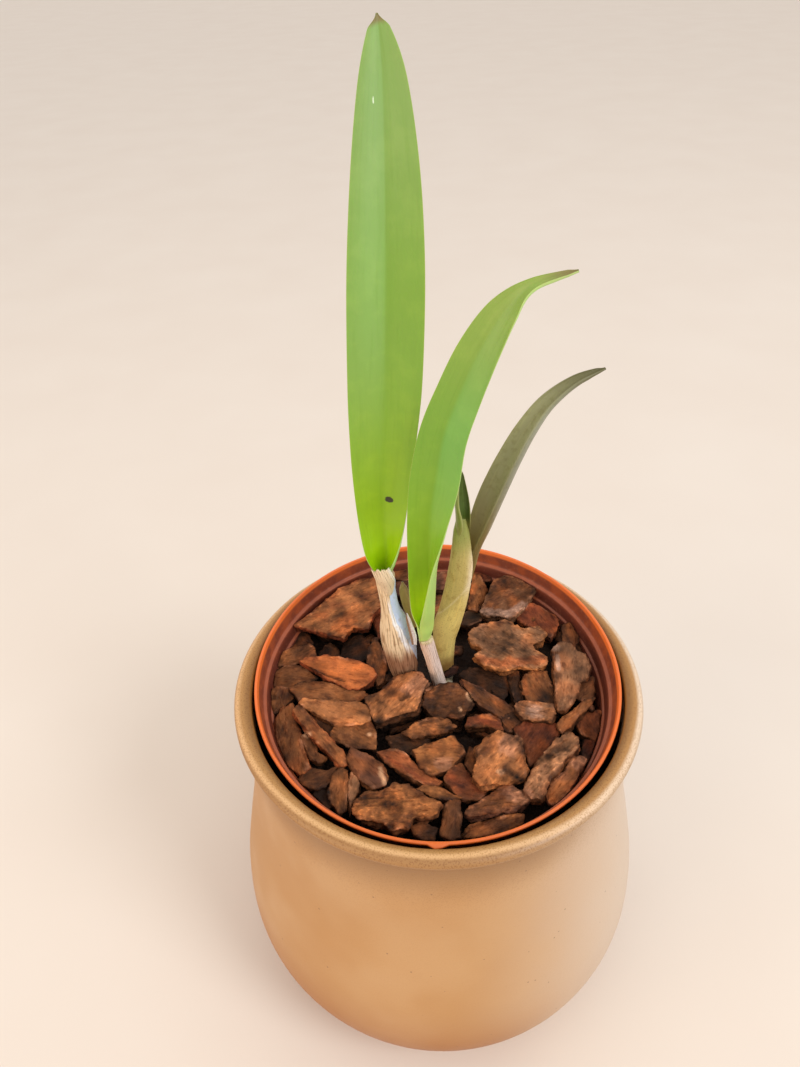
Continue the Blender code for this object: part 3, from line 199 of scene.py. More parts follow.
    (7.4, 5, -7, 4, "umber", "mauve", 0.4, [(8.4, 1), (11, -0.6), (15, -3.3), (19.5, -6.4), (23, -9.8),
        (25.2, -12.5), (24, -15.6), (20, -15.3), (13, -9.5), (10.2, -4.5)]),
    (10, 5, 0, 3, "dark", "dark", 0.3, [(8, 3), (12, 6), (18, 6), (25, 4), (25, -3), (22, -8),
        (17, -6), (12, -2)]),
    (9, 5, 0, 0, "dark", "dark", 0.3, [(24.6, 3), (28.5, 4), (28, -2), (28.6, -8), (25.5, -10),
        (24.3, -4)]),
    (8.7, 5, 0, 3, "dark", "dark", 0.3, [(20, -14.5), (24, -13.5), (27, -16.5), (25, -20.5),
        (20.8, -19.5)]),
    (5.8, 7, -4, 6, "umber", "grey", 0.5, [(18.5, 31), (20, 35.5), (22.5, 41), (25, 46.5), (30, 48.5),
        (35, 45.5), (40, 41), (37, 35.5), (34.5, 32), (31.5, 28.8), (28, 26.5), (25, 28.7), (21.5, 29)]),
    (8, 5, 0, 4, "ochre", "umber", 0.4, [(13.5, 32), (15.5, 41), (17, 50), (20, 49), (22, 42),
        (19.5, 35), (17, 30.5)]),
    (9, 5, 0, 0, "red", "dark", 0.3, [(15, 50), (18.5, 55), (25, 52.5), (24, 46), (19, 45)]),
    (9.6, 4, 0, 3, "olive", "dark", 0.3, [(9.5, 25.5), (12, 31), (16, 32.5), (20, 30), (18, 26),
        (13, 23.5)]),
    (7.6, 5, 0, 3, "tan", "umber", 0.3, [(-3, 28), (-1, 35.5), (5, 37.5), (8.5, 34), (7, 27.5)]),
    (8.8, 5, 0, 0, "mauve", "dark", 0.3, [(-1, 43), (0.5, 50), (7.5, 51.5), (11, 47), (9, 41)]),
    (8.6, 5, 0, 4, "brown", "dark", 0.3, [(-15, 49), (-14, 55), (-5, 55.5), (-4, 49.5), (-9, 47.5)]),
    (8, 5, 0, 0, "mauve", "dark", 0.3, [(-14, 42), (-12.5, 48), (-6, 48.5), (-4, 42.5), (-8, 39)]),
    (8.5, 5, 0, 0, "umber", "dark", 0.3, [(45, 15), (46, 23), (49.5, 24), (51.5, 17.5), (49.5, 12)]),
    (10, 5, 0, 0, "dark", "dark", 0.3, [(-14, 26), (-12, 33), (-6, 33), (-5, 26), (-9, 22)]),
]
DEEP_CHIPS = [
    (10.2, 4, 0, 4, "rust", "umber", 0.4, [(43, -16), (48, -13), (52.5, -14), (52, -20), (49, -25.5),
        (44.5, -22.5)]),
    (10.8, 4, 0, 4, "red", "dark", 0.4, [(45, -24), (49.5, -24), (48, -30), (45, -34), (43, -30)]),
]
# Bark tones, as display colours from 0 to 255.
TONES = {"brown": (126, 76, 42), "dark": (66, 38, 20), "umber": (96, 56, 30), "red": (120, 58, 32),
         "rust": (142, 76, 42), "orange": (178, 98, 50), "tan": (152, 95, 56), "ochre": (144, 88, 48),
         "grey": (138, 94, 64), "ash": (160, 124, 104), "mauve": (106, 66, 48), "pink": (166, 112, 82),
         "pale": (200, 150, 112), "olive": (72, 48, 28)}
# Marks on the chips, as stripes with round ends: (x, y, x, y of the other end, radius, tone). They are
# placed like the chips' corners, and the dark ones are dents.
# Some light marks are painted highlights: the pale specks near (-22.5, -19.3) and (7.2, -10.8), the pale dot
# near (17.5, -34.5), the orange streak near (16, -14.7) and the ash strip near x = 42.
MARKS = [
    (-32, 26, -31, 28, 4.2, "orange"), (-55, -3.5, -54, -3.5, 1.2, "dark"), (-43, 8, -31, 2, 0.5, "dark"),
    (-22.5, -19.3, -22.3, -19.5, 0.7, "pale"), (-8, -2, -4, 1.5, 3.2, "pink"),
    (-12, -6, -9.5, -5, 0.8, "dark"), (-1, -9, 8, -10, 4.4, "dark"), (10.3, -5.5, 11, -7.5, 0.9, "pale"),
    (7.1, -10.2, 7.4, -11.4, 0.4, "pale"),
    (14, -14.4, 18, -15, 1.0, "orange"), (21, -26, 22, -24, 3.2, "pink"),
    (12, -37.6, 24, -36.8, 1.3, "ochre"), (17, -34.5, 18, -34.5, 1.0, "pale"),
    (-1, -30.5, 1.5, -30.5, 1.9, "pink"), (-17, -28, -6, -36, 0.6, "red"),
    (-25, -45, -19, -47, 2.4, "ochre"), (-26, -40.9, -18.5, -41.3, 0.4, "dark"),
    (-19.2, -31.5, -18, -36.3, 0.8, "pale"), (-43, -18, -42, -18.6, 0.9, "pale"),
    (16, 9, 23, 6.3, 1.6, "rust"), (25, 7, 37, 7.5, 1.9, "rust"),
    (42, 3.5, 42.2, 9, 0.8, "ash"), (41.5, 12, 43, 12.6, 1.2, "ash"), (29.4, -6, 30, 0.6, 0.8, "orange"),
    (30.5, -13.2, 32.5, -13.8, 2.3, "ash"), (35, -13.8, 36.5, -14, 1.8, "brown"),
    (37, -27, 38, -26.4, 1.0, "dark"), (33, -30, 34, -29.6, 0.9, "dark"), (32, -38, 39, -31, 0.5, "dark"),
    (41, -33, 43, -32, 1.9, "pink"), (20, -42, 24, -42.6, 2.0, "pink"),
    (20, 30.5, 27, 28.5, 1.9, "ash"), (28, 28.8, 34, 33, 1.6, "ash"), (16, 40, 17.4, 43, 1.2, "orange"),
]

# The plant. Stems: (x, y, z, half width, half depth).
PSEUDOBULB = [(-9.6, 10.2, 123.6, 3.3, 3.3), (-10.3, 10.1, 127.0, 3.9, 3.9), (-10.9, 10.0, 134.0, 5.0, 4.6),
              (-11.8, 10.0, 142.5, 5.5, 5.0), (-12.7, 10.0, 150.4, 4.8, 4.3), (-13.8, 10.0, 157.6, 3.0, 3.0),
              (-14.5, 10.0, 164.5, 2.6, 2.7), (-15.2, 10.0, 172.4, 2.8, 2.6)]
# Left edge of the bulb's bare strip: (height, angle round the bulb in degrees).
BARE_EDGE = [(124, 352), (131, 358), (137.4, 330), (142, 316), (147.2, 306), (154.6, 290), (161.4, 282),
             (168.4, 284), (172, 290), (190, 350)]
SHOOT_2 = [(1.7, 6.0, 122.9, 2.2, 2.2), (1.2, 6.0, 126.5, 2.1, 2.1), (-0.9, 6.0, 137.2, 2.1, 2.0),
           (-3.0, 6.0, 147.6, 2.2, 2.0)]
SHOOT_3 = [(3.4, 14.5, 123.0, 3.4, 2.8), (3.4, 14.5, 130.0, 3.5, 2.9), (3.6, 14.5, 138.5, 3.8, 3.0),
           (4.6, 14.6, 145.0, 4.3, 3.0), (6.2, 14.9, 152.0, 4.3, 2.8), (7.7, 15.1, 160.0, 4.1, 2.5),
           (8.9, 15.5, 169.0, 3.9, 2.2), (9.1, 16.1, 177.0, 3.1, 1.8), (9.0, 16.7, 183.5, 2.4, 1.4),
           (9.0, 17.0, 187.8, 1.5, 0.9)]


LEAF_ROWS, LEAF_COLUMNS = 14, 14  # between stations, and from the midrib to each margin
# Leaves: (x, y, z of the midrib, half width, lift of the left wing, lift of the right wing, turn, rise).
LEAF_1 = [(-14.9, 11.2, 172.9, 3.8, 105, 150, -8, 0), (-14.4, 11.0, 180.5, 6.9, 62, 108, -6, 0),
          (-14.7, 10.6, 194.6, 7.6, 34, 48, -4, 0), (-14.1, 9.6, 212.3, 8.6, 24, 26, -2, 0),
          (-13.0, 8.4, 228.2, 9.4, 18, 18, 0, 0), (-12.0, 7.6, 242.3, 9.7, 15, 15, 0, 0),
          (-10.8, 7.0, 264.8, 9.4, 14, 14, 0, 0), (-10.0, 7.4, 282.8, 8.4, 14, 14, 0, 0),
          (-9.6, 8.2, 297.2, 6.9, 15, 15, 0, 0), (-9.5, 9.6, 309.1, 4.9, 17, 17, 0, 0),
          (-9.8, 10.4, 316.4, 2.5, 18, 18, 0, 0), (-10.1, 11.0, 319.2, 0.5, 18, 18, 0, 0)]
LEAF_2 = [(-1.9, 7.4, 148.1, 5.0, 126, 160, -32, 0), (-1.6, 7.4, 154.5, 5.6, 118, 158, -32, 0),
          (-1.4, 7.2, 162.5, 6.6, 72, 134, -30, 0), (-1.4, 6.4, 182.2, 6.6, 46, 94, -24, 0),
          (-1.1, 5.0, 196.8, 6.7, 34, 50, -20, 2), (0.6, 3.6, 211.3, 7.4, 28, 32, -20, 6),
          (2.8, 2.4, 226.5, 6.8, 26, 26, -20, 10), (6.6, 1.4, 238.9, 6.2, 26, 24, -20, 16),
          (11.2, 0.2, 251.2, 5.5, 28, 24, -20, 24), (16.4, -1.0, 261.2, 4.1, 32, 28, -20, 34),
          (22.2, -2.4, 267.9, 1.5, 36, 36, -20, 44), (31.9, -4.0, 271.4, 0.5, 36, 36, -20, 50)]
LEAF_3_SHORT = [(8.3, 16.8, 188.3, 3.6, 98, 98, 42, 0), (8.1, 17.0, 194.4, 3.2, 74, 74, 42, 0),
                (8.2, 16.6, 201.0, 1.9, 64, 64, 42, 0), (8.5, 16.2, 206.4, 0.5, 60, 60, 42, 0)]
LEAF_3_FOOT = (8.2, 17.9, 184.2, 3.9, 92, 92, 36, 0)
LEAF_3_LONG = [(13.0, 20.8, 164.7, 3.4, 96, 96, -62, 20), (14.7, 21.0, 173.2, 4.5, 84, 84, -63, 24),
               (17.8, 21.2, 182.2, 6.1, 77, 77, -64, 26), (20.9, 21.6, 191.5, 6.6, 74, 74, -64, 28),
               (25.3, 22.4, 203.6, 6.0, 73, 73, -64, 30), (29.9, 23.6, 213.9, 4.9, 72, 72, -64, 34),
               (34.9, 24.8, 221.8, 3.6, 70, 70, -64, 40), (42.2, 26.4, 227.8, 2.0, 66, 66, -62, 50),
               (50.2, 28.0, 230.8, 0.5, 60, 60, -60, 56)]
LEAF_3_LONG_FOOT = [(7.6, 16.8, 142.0, 1.2, 96, 96, -62, 0), (9.6, 18.2, 152.0, 2.4, 96, 96, -62, 8)]
SHEATH_2_BACK = [(-5.5, 10.6, 148.6, 1.3, 60, 60, -10, 0), (-7.9, 12.4, 156.5, 2.0, 50, 50, -10, 0),
                 (-9.3, 12.8, 163.0, 1.6, 46, 46, -10, 0), (-9.9, 12.9, 166.5, 0.5, 40, 40, -10, 0)]
SHEATH_1_COLLAR = [(-14.3, 8.6, 163.5, 1.2, 60, 60, 180, 0), (-14.4, 6.9, 169.5, 2.9, 62, 56, 180, 0),
                   (-15.2, 5.0, 174.4, 3.1, 26, 50, 180, 0), (-16.4, 4.2, 179.2, 2.9, 14, 40, 180, 0)]
SHEATH_2_FLAP = [(-6.8, 4.6, 146.4, 0.8, 30, 30, -12, 0), (-7.1, 4.6, 150.4, 1.0, 30, 30, -12, 0),
                 (-8.1, 5.2, 155.2, 0.8, 30, 30, -12, 0), (-8.9, 5.5, 159.6, 0.5, 30, 30, -12, 0)]


def rgb(red, green, blue):
    """A display colour from 0 to 255 as the linear colour that a shader takes."""
    shares = [value / 255 for value in (red, green, blue)]
    return (*[s / 12.92 if s < 0.04045 else ((s + 0.055) / 1.055) ** 2.4 for s in shares], 1.0)


BARK_TONES = {name: rgb(*tone) for name, tone in TONES.items()}


def blend(a, b, share):
    """A colour between two others."""
    return tuple(x + (y - x) * share for x, y in zip(a, b))


def clamp(value, low=0.0, high=1.0):
    return max(low, min(high, value))


def step(value, low, high):
    """Rises smoothly from 0 at low to 1 at high."""
    share = clamp((value - low) / (high - low))
    return share * share * (3 - 2 * share)


def ripple(q, x, y=None, z=None):
    """Noise from -1 to 1 at a point. Its waves are about x long, or x, y and z long along the axes."""
    return noise.noise(Vector((q[0] / x, q[1] / (y or x), q[2] / (z or x))))


def circle(radius, count, start=0.0):
    """Points evenly round a circle. The start is a share of a step."""
    turns = [2 * math.pi * (k + start) / count for k in range(count)]
    return [(radius * math.cos(a), radius * math.sin(a)) for a in turns]


class Paint:
    """A Principled material, put together node by node. Sizes are in millimetres."""

    def __init__(self, name, roughness, specular=0.5):
        self.material = bpy.data.materials.new(name)
        self.material.use_nodes = True
        self.tree = self.material.node_tree
        self.shader = self.tree.nodes["Principled BSDF"]
        self.colour = None
        self.shader.inputs["Roughness"].default_value = roughness
        self.shader.inputs["Specular IOR Level"].default_value = specular

    def put(self, socket, value):
        if isinstance(value, bpy.types.NodeSocket):
            self.tree.links.new(value, socket)
        else:
            socket.default_value = value

    def node(self, kind, **settings):
        made = self.tree.nodes.new(kind)
        for key, value in settings.items():
            setattr(made, key, value)
        return made

    def place(self, attribute=None, stretch=(1, 1, 1)):
        """Where a point is, in millimetres: in the object's space, or as a named attribute says."""
        if attribute:
            source = self.node("ShaderNodeAttribute", attribute_name=attribute).outputs["Vector"]
            scale = stretch
        else:
            source = self.node("ShaderNodeTexCoord").outputs["Object"]
            scale = tuple(s / MM for s in stretch)
        mapping = self.node("ShaderNodeMapping")
        self.put(mapping.inputs["Vector"], source)
        self.put(mapping.inputs["Scale"], scale)
        return mapping.outputs["Vector"]

    def noise(self, size, detail, place=None):
        made = self.node("ShaderNodeTexNoise")
        self.put(made.inputs["Vector"], place or self.place())
        self.put(made.inputs["Scale"], 1.0 / size)
        self.put(made.inputs["Detail"], detail)
        return made.outputs["Fac"]

    def specks(self, size):
        """Distance from scattered points, as a share of their spacing."""
        made = self.node("ShaderNodeTexVoronoi")
        self.put(made.inputs["Vector"], self.place())
        self.put(made.inputs["Scale"], 1.0 / size)
        return made.outputs["Distance"]

    def spot(self, x, z, radius, slim=1.0):
        """1 within a radius of a spot, as seen from the front. It is slim times as high as it is wide."""
        made = self.node("ShaderNodeVectorMath", operation="DISTANCE")
        self.put(made.inputs[0], self.place(stretch=(slim, 0, 1)))
        self.put(made.inputs[1], (x * slim, 0, z))
        ragged = self.sum("ADD", made.outputs["Value"], self.noise(0.8, 2.0))
        return self.ramp(ragged, radius + 0.75, radius + 0.45)

    def mask(self, name):
        """A number that the mesh carries at each point."""
        return self.node("ShaderNodeAttribute", attribute_name=name).outputs["Fac"]

    def tone(self):
        """The colour that the mesh carries at each point."""
        return self.node("ShaderNodeAttribute", attribute_name="tone").outputs["Color"]

    def ramp(self, value, low, high, start=0.0, end=1.0):
        made = self.node("ShaderNodeMapRange", interpolation_type="SMOOTHSTEP")
        for socket, number in zip(("Value", "From Min", "From Max", "To Min", "To Max"),
                                  (value, low, high, start, end)):
            self.put(made.inputs[socket], number)
        return made.outputs["Result"]

    def sum(self, kind, a, b):
        made = self.node("ShaderNodeMath", operation=kind)
        self.put(made.inputs[0], a)
        self.put(made.inputs[1], b)
        return made.outputs[0]

    def times(self, a, b):
        return self.sum("MULTIPLY", a, b)

    def mix(self, a, b, share, *fade, way="MIX"):
        """A mixed with b by a share, or by a ramp of it where a fade (low, high, start, end) is given."""
        made = self.node("ShaderNodeMix", data_type="RGBA", blend_type=way)
        self.put(made.inputs[0], self.ramp(share, *fade) if fade else share)
        self.put(made.inputs[6], a)
        self.put(made.inputs[7], b)
        return made.outputs[2]

    def over(self, colour, share, *fade):
        """Lays a colour over what is painted so far."""
        self.colour = self.mix(self.colour, colour, share, *fade)

    def tint(self, factor, share, *fade):
        """Multiplies what is painted so far by a factor, as far as the share goes."""
        self.colour = self.mix(self.colour, (*factor, 1), share, *fade, way="MULTIPLY")

    def bump(self, height, depth, normal=None):
        """Raises the surface by up to depth millimetres where height is 1."""
        made = self.node("ShaderNodeBump")
        self.put(made.inputs["Height"], height)
        self.put(made.inputs["Distance"], depth * MM)
        self.put(made.inputs["Strength"], 1.0)
        if normal is not None:
            self.put(made.inputs["Normal"], normal)
        return made.outputs["Normal"]

    def done(self, roughness=None, normal=None):
        self.put(self.shader.inputs["Base Color"], self.colour)
        if roughness is not None:
            self.put(self.shader.inputs["Roughness"], roughness)
        if normal is not None:
            self.put(self.shader.inputs["Normal"], normal)
        return self.material


def mesh_object(name, points, faces, mat, masks=None, tones=None, places=None, slot=None, stands_for=()):
    """A smooth-shaded piece from points in millimetres, with what its points carry for the material."""
    mesh = bpy.data.meshes.new(name)
    mesh.from_pydata([Vector(p) * MM for p in points], [], faces)
    for key, values in (masks or {}).items():
        mesh.attributes.new(key, "FLOAT", "POINT").data.foreach_set("value", values)
    if tones:
        flat = [channel for tone in tones for channel in tone]
        mesh.attributes.new("tone", "FLOAT_COLOR", "POINT").data.foreach_set("color", flat)
    if places:
        flat = [part for place in places for part in place]
        mesh.attributes.new("local", "FLOAT_VECTOR", "POINT").data.foreach_set("vector", flat)
    mesh.shade_smooth()
    mesh.materials.append(mat)
    obj = bpy.data.objects.new(name, mesh)
    bpy.context.scene.collection.objects.link(obj)
    if slot:
        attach(obj, BODY)
        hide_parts(*stands_for)
    return obj


def smooth_path(points, per_span):
    """Catmull-Rom curve through the points, each a tuple of any length."""
    last = len(points) - 1
    path = []
    for i in range(last):
        p0, p1 = points[max(i - 1, 0)], points[i]
        p2, p3 = points[i + 1], points[min(i + 2, last)]
        for k in range(per_span):
            t = k / per_span
            path.append(tuple(0.5 * (2 * b + (c - a) * t + (2 * a - 5 * b + 4 * c - d) * t ** 2
                                     + (3 * b - a - 3 * c + d) * t ** 3)
                              for a, b, c, d in zip(p0, p1, p2, p3)))
    path.append(tuple(points[last]))
    return path


def tube_faces(rings, sides, first=0):
    """Faces between rings of points that follow one another, from the first point on."""
    faces = []
    for a in range(first, first + (rings - 1) * sides, sides):
        for k in range(sides):
            k2 = (k + 1) % sides
            faces.append((a + k, a + k2, a + sides + k2, a + sides + k))
    return faces


def pointed_faces(rings, sides):
    """Faces of a piece that is one point, then rings, then one point."""
    last = 1 + (rings - 1) * sides
    faces = tube_faces(rings, sides, 1)
    for k in range(sides):
        k2 = (k + 1) % sides
        faces += [(0, 1 + k2, 1 + k), (last + k, last + k2, last + sides)]
    return faces


def revolve(profile, sides):
    """Turns a closed shape round Z. The profile runs from the axis to the axis."""
    points = [(0.0, 0.0, profile[0][1])]
    for r, z in profile[1:-1]:
        points += [(x, y, z) for x, y in circle(r, sides)]
    points.append((0.0, 0.0, profile[-1][1]))
    return points, pointed_faces(len(profile) - 2, sides)


def arc(cx, cz, half_width, half_height, start, end, steps):
    """Points of an oval stretch of a profile, angles in degrees."""
    out = []
    for k in range(steps + 1):
        a = math.radians(start + (end - start) * k / steps)
        out.append((cx + half_width * math.cos(a), cz + half_height * math.sin(a)))
    return out


def face_out(obj):
    """Turns a closed piece's faces outwards."""
    bm = bmesh.new()
    bm.from_mesh(obj.data)
    bmesh.ops.recalc_face_normals(bm, faces=bm.faces)
    bm.to_mesh(obj.data)
    bm.free()


def applied(obj):
    """The mesh that an object has with its modifiers applied."""
    return bpy.data.meshes.new_from_object(obj.evaluated_get(bpy.context.evaluated_depsgraph_get()))


def add_camera():
    pitch, roll = CAMERA_PITCH, CAMERA_ROLL
    right, up = Vector((1, 0, 0)), Vector((0, math.sin(pitch), math.cos(pitch)))
    ahead = Vector((0, math.cos(pitch), -math.sin(pitch)))
    across = right * math.cos(roll) + up * math.sin(roll)
    above = up * math.cos(roll) - right * math.sin(roll)
    data = bpy.data.cameras.new("camera")
    data.sensor_width = 36
    data.lens = CAMERA_LENS
    data.clip_start, data.clip_end = 0.01, 50
    camera = bpy.data.objects.new("camera", data)
    turn = Matrix((across, above, -ahead)).transposed().to_4x4()
    camera.matrix_world = Matrix.Translation(Vector(CAMERA_PLACE) * MM) @ turn
    bpy.context.scene.collection.objects.link(camera)
    bpy.context.scene.camera = camera


def add_floor():
    paint = Paint("floor_paint", 0.8, specular=0.2)
    paint.colour = paint.mix(rgb(236, 224, 211), rgb(231, 217, 203), paint.noise(90.0, 2.0))
    size = 6000.0
    points = [(-size, -size, 0), (size, -size, 0), (size, size, 0), (-size, size, 0)]
    floor = mesh_object("floor", points, [(0, 1, 2, 3)], paint.done())


def add_area_light(name, place, target, size, power, colour):
    data = bpy.data.lights.new(name, "AREA")
    data.shape = "DISK"
    data.size = size
    data.energy = power
    data.color = colour
    light = bpy.data.objects.new(name, data)
    light.location = place
    light.rotation_euler = (Vector(target) - Vector(place)).to_track_quat("-Z", "Y").to_euler()
    bpy.context.scene.collection.objects.link(light)


def add_lights():
    """Soft daylight from the right and in front, with a warm fill from the left."""
    world = bpy.data.worlds.new("world")
    world.use_nodes = True
    world.node_tree.nodes["Background"].inputs["Color"].default_value = (0.96, 0.94, 0.93, 1)
    world.node_tree.nodes["Background"].inputs["Strength"].default_value = 0.9
    bpy.context.scene.world = world
    middle = (0, 0, 0.15)
    add_area_light("key", (1.0, -0.8, 1.35), middle, 0.7, 12.2, (0.92, 0.96, 1.0))
    add_area_light("fill", (-0.9, -0.6, 0.5), middle, 0.9, 4, (1.0, 0.78, 0.55))


def cachepot_paint():
    """Satin stoneware glaze: sandy buff, paler on the right as painted light, with a warm painted reflection
    low on the front, a gritty brown neck that also carries painted shade under the bead, and a bead with a
    painted highlight on its crest and painted shade on its slopes.
    """
    paint = Paint("stoneware_glaze", 0.42)
    height, reach = paint.mask("height"), paint.mask("reach")
    cloud = paint.noise(34.0, 2.0)
    grit = paint.noise(0.45, 3.0)
    paint.colour = paint.mix(rgb(194, 148, 98), rgb(186, 136, 82), cloud, 0.3, 0.7)
    spot = paint.node("ShaderNodeSeparateXYZ")
    paint.put(spot.inputs[0], paint.place())
    # Painted light: the glaze turns paler towards the right side.
    pale = paint.ramp(paint.sum("ADD", spot.outputs[0], paint.times(cloud, 26.0)), 14.0, 86.0)
    # The bead's colour bands shift with the side of the pot, so its painted highlight and painted shade sit
    # where the light falls.
    wide = paint.ramp(spot.outputs[1], -62.0, -15.0, -0.5, 1.0)
    wide = paint.sum("MAXIMUM", wide, paint.ramp(spot.outputs[0], 10.0, 46.0, -0.5, 0.9))
    reach = paint.sum("SUBTRACT", reach, wide)
    paint.over(rgb(212, 190, 168), pale)
    # Painted reflection: warm caramel low on the front, as light thrown up from below, with a warm specular
    # tint to match.
    low = paint.times(paint.ramp(height, 62.0, 12.0), paint.ramp(pale, 0.0, 0.6, 1.0, 0.2))
    paint.over(rgb(152, 82, 14), low)
    paint.put(paint.shader.inputs["Specular Tint"], paint.mix((1, 1, 1, 1), (1.0, 0.62, 0.3, 1), low))
    # Gritty brown speckle on the neck, darker towards the bead as painted shade under it.
    brown = paint.times(paint.ramp(height, 108.0, 130.0), paint.ramp(grit, 0.25, 0.6, 0.5, 0.95))
    brown = paint.times(brown, paint.ramp(pale, 0.1, 0.8, 1.0, 0.25))
    paint.over(rgb(144, 102, 56), brown)
    # The bead: a painted highlight on its crest, and painted shade on its inner slope towards the mouth and
    # on its outer slope.
    crest_highlight = paint.mix(rgb(222, 174, 120), rgb(232, 206, 178), pale)
    outer = paint.mix(rgb(166, 120, 70), rgb(200, 172, 142), pale)
    inner = paint.mix(rgb(146, 100, 46), rgb(184, 134, 76), reach, 60.4, 63.0)
    bead = paint.mix(inner, crest_highlight, reach, 62.7, 64.0)
    bead = paint.mix(bead, outer, reach, 64.3, 65.4)
    paint.over(bead, height, 132.0, 133.6)
    sand = paint.times(paint.ramp(height, 100.0, 130.0, 0.1, 1.0), paint.ramp(grit, 0.52, 0.34))
    paint.tint((0.74, 0.66, 0.56), sand)
    specks = paint.ramp(paint.specks(6.5), 0.06, 0.035)
    paint.over(rgb(110, 72, 42), paint.times(specks, 0.6))
    rough = paint.ramp(cloud, 0.3, 0.7, 0.38, 0.48)
    normal = paint.bump(paint.noise(7.0, 3.0), 0.1)
    return paint.done(rough, paint.bump(grit, 0.06, normal))


def cachepot():
    foot = [(CACHEPOT_FOOT_R - 6.0, 0.0), (CACHEPOT_FOOT_R, 0.0)]
    outside = smooth_path(CACHEPOT_BELLY, 8)
    bead = arc(CACHEPOT_BEAD_R, CACHEPOT_BEAD_Z, *CACHEPOT_BEAD_HALVES, -60, 190, 40)
    mouth = CACHEPOT_BEAD_R - CACHEPOT_BEAD_HALVES[0]
    inside = []
    for r, z in outside[::-3]:
        if CACHEPOT_FLOOR + CACHEPOT_FLOOR_FILLET < z:
            inside.append((min(r - CACHEPOT_NECK_WALL, max(r - CACHEPOT_WALL, mouth - 0.3)), z))
    turn = inside[-1][0]
    floor = smooth_path([(turn - 1.5, CACHEPOT_FLOOR + 7.0), (turn - 5.0, CACHEPOT_FLOOR + 3.4),
                         (turn - 13.0, CACHEPOT_FLOOR + 0.6), (turn - 20.0, CACHEPOT_FLOOR)], 4)
    profile = [(0.0, 0.0)] + foot + outside + bead + inside + floor + [(0.0, CACHEPOT_FLOOR)]
    points, faces = revolve(profile, TURNED_SIDES)
    masks = {"height": [p[2] for p in points], "reach": [math.hypot(p[0], p[1]) for p in points]}
    obj = mesh_object("cachepot_glazed", points, faces, cachepot_paint(), masks, slot="stoneware",
                      stands_for=["cachepot"])
    face_out(obj)


def to_world(points):
    """From the nursery pot's own axes: it is wedged in the mouth, with its front side a little low."""
    place = Matrix.Translation(POT_CENTRE) @ Matrix.Rotation(POT_TILT, 4, "X")
    return [place @ Vector(p) for p in points]


def pot_paint():
    """Moulded terracotta-orange plastic, brown inside the wall as painted shade, with painted highlights
    along its edge and ledges.
    """
    paint = Paint("terracotta_plastic", 0.45)
    depth = paint.mask("depth")
    cloud = paint.noise(5.0, 4.0)
    paint.colour = paint.mix(rgb(162, 78, 44), rgb(128, 60, 38), cloud, 0.35, 0.65)
    # Painted shade: the inner wall turns brown below 4 mm.
    paint.over(rgb(104, 48, 34), depth, 4.0, 8.0)
    # Painted highlights: a paler line along each ledge.
    for ledge in LEDGE_DEPTHS:
        on = paint.times(paint.ramp(depth, ledge - 0.35, ledge - 0.1),
                         paint.ramp(depth, ledge + 0.4, ledge + 0.15))
        paint.over(rgb(186, 96, 54), paint.times(on, 0.5))
    # Painted highlight: the top of the edge bright orange.
    edge = paint.ramp(depth, 1.7, 0.9)
    paint.over(rgb(238, 116, 48), edge)
    dust = paint.ramp(paint.noise(1.2, 4.0), 0.56, 0.72)
    paint.over(rgb(176, 116, 86), paint.times(dust, 0.25))
    rough = paint.ramp(cloud, 0.3, 0.7, 0.36, 0.52)
    return paint.done(rough, paint.bump(paint.noise(1.0, 3.0), 0.05))


def nursery_pot():
    inside = []
    for (r0, d0), (r1, d1) in zip(POT_INSIDE, POT_INSIDE[1:]):
        steps = 16 if d1 - d0 > 20 else 5
        inside += [(r0 + (r1 - r0) * k / steps, -(d0 + (d1 - d0) * k / steps)) for k in range(steps)]
    inside.append((POT_INSIDE[-1][0], -POT_INSIDE[-1][1]))
    edge = arc(POT_EDGE_R - 0.45, -0.4, 0.45, 0.4, 90, 0, 5) + [(POT_EDGE_R, -0.8), (POT_EDGE_R - 0.1, -0.9)]
    outside = edge + [(r, -d) for r, d in POT_OUTSIDE]
    profile = [(0.0, -POT_DEPTH + POT_FLOOR)] + inside[::-1] + outside + [(0.0, -POT_DEPTH)]
    points, faces = revolve(profile, TURNED_SIDES)
    shaped = [nubbed(Vector(p)) for p in points]
    masks = {"depth": [-p[2] for p in points]}
    pot = mesh_object("nursery_pot_moulded", to_world(shaped), faces, pot_paint(), masks)
    face_out(pot)
    cut_drain_holes(pot)
    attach(pot, BODY)
    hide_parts("nursery_pot")


def nubbed(p):
    """Draws the edge's outer side out into the small moulding mark at the front."""
    r = math.hypot(p.x, p.y)
    outer = step(r, POT_EDGE_R - 0.7, POT_EDGE_R - 0.2) * step(-p.z, 1.15, 0.95)
    along = step(p.x, NUB_X[0] - 0.5, NUB_X[0] + 0.5) * step(p.x, NUB_X[1] + 0.5, NUB_X[1] - 0.5)
    reach = NUB_REACH * outer * along if p.y < 0 else 0.0
    return Vector((p.x, p.y - reach, p.z))


def cut_drain_holes(pot):
    for x, y in [(0.0, 0.0)] + circle(DRAIN_RING_R, DRAIN_HOLES, 0.5):
        ring = [(0.0, -POT_DEPTH - 2), (DRAIN_HOLE_R, -POT_DEPTH - 2), (DRAIN_HOLE_R, -POT_DEPTH + 4),
                (0.0, -POT_DEPTH + 4)]
        points, faces = revolve(ring, DRAIN_SIDES)
        hole = mesh_object("hole", to_world([(px + x, py + y, pz) for px, py, pz in points]), faces, None)
        face_out(hole)
        mod = pot.modifiers.new("drain", "BOOLEAN")
        mod.operation = "DIFFERENCE"
        mod.object = hole
        mesh = applied(pot)
        pot.modifiers.clear()
        pot.data = mesh
        bpy.data.objects.remove(hole)


def pot_inner_radius(depth):
    """Inner radius of the nursery pot's wall at a depth below its lip."""
    for (r0, d0), (r1, d1) in zip(POT_INSIDE, POT_INSIDE[1:]):
        if depth <= d1:
            return r0 + (r1 - r0) * (depth - d0) / (d1 - d0)
    return POT_INSIDE[-1][0]


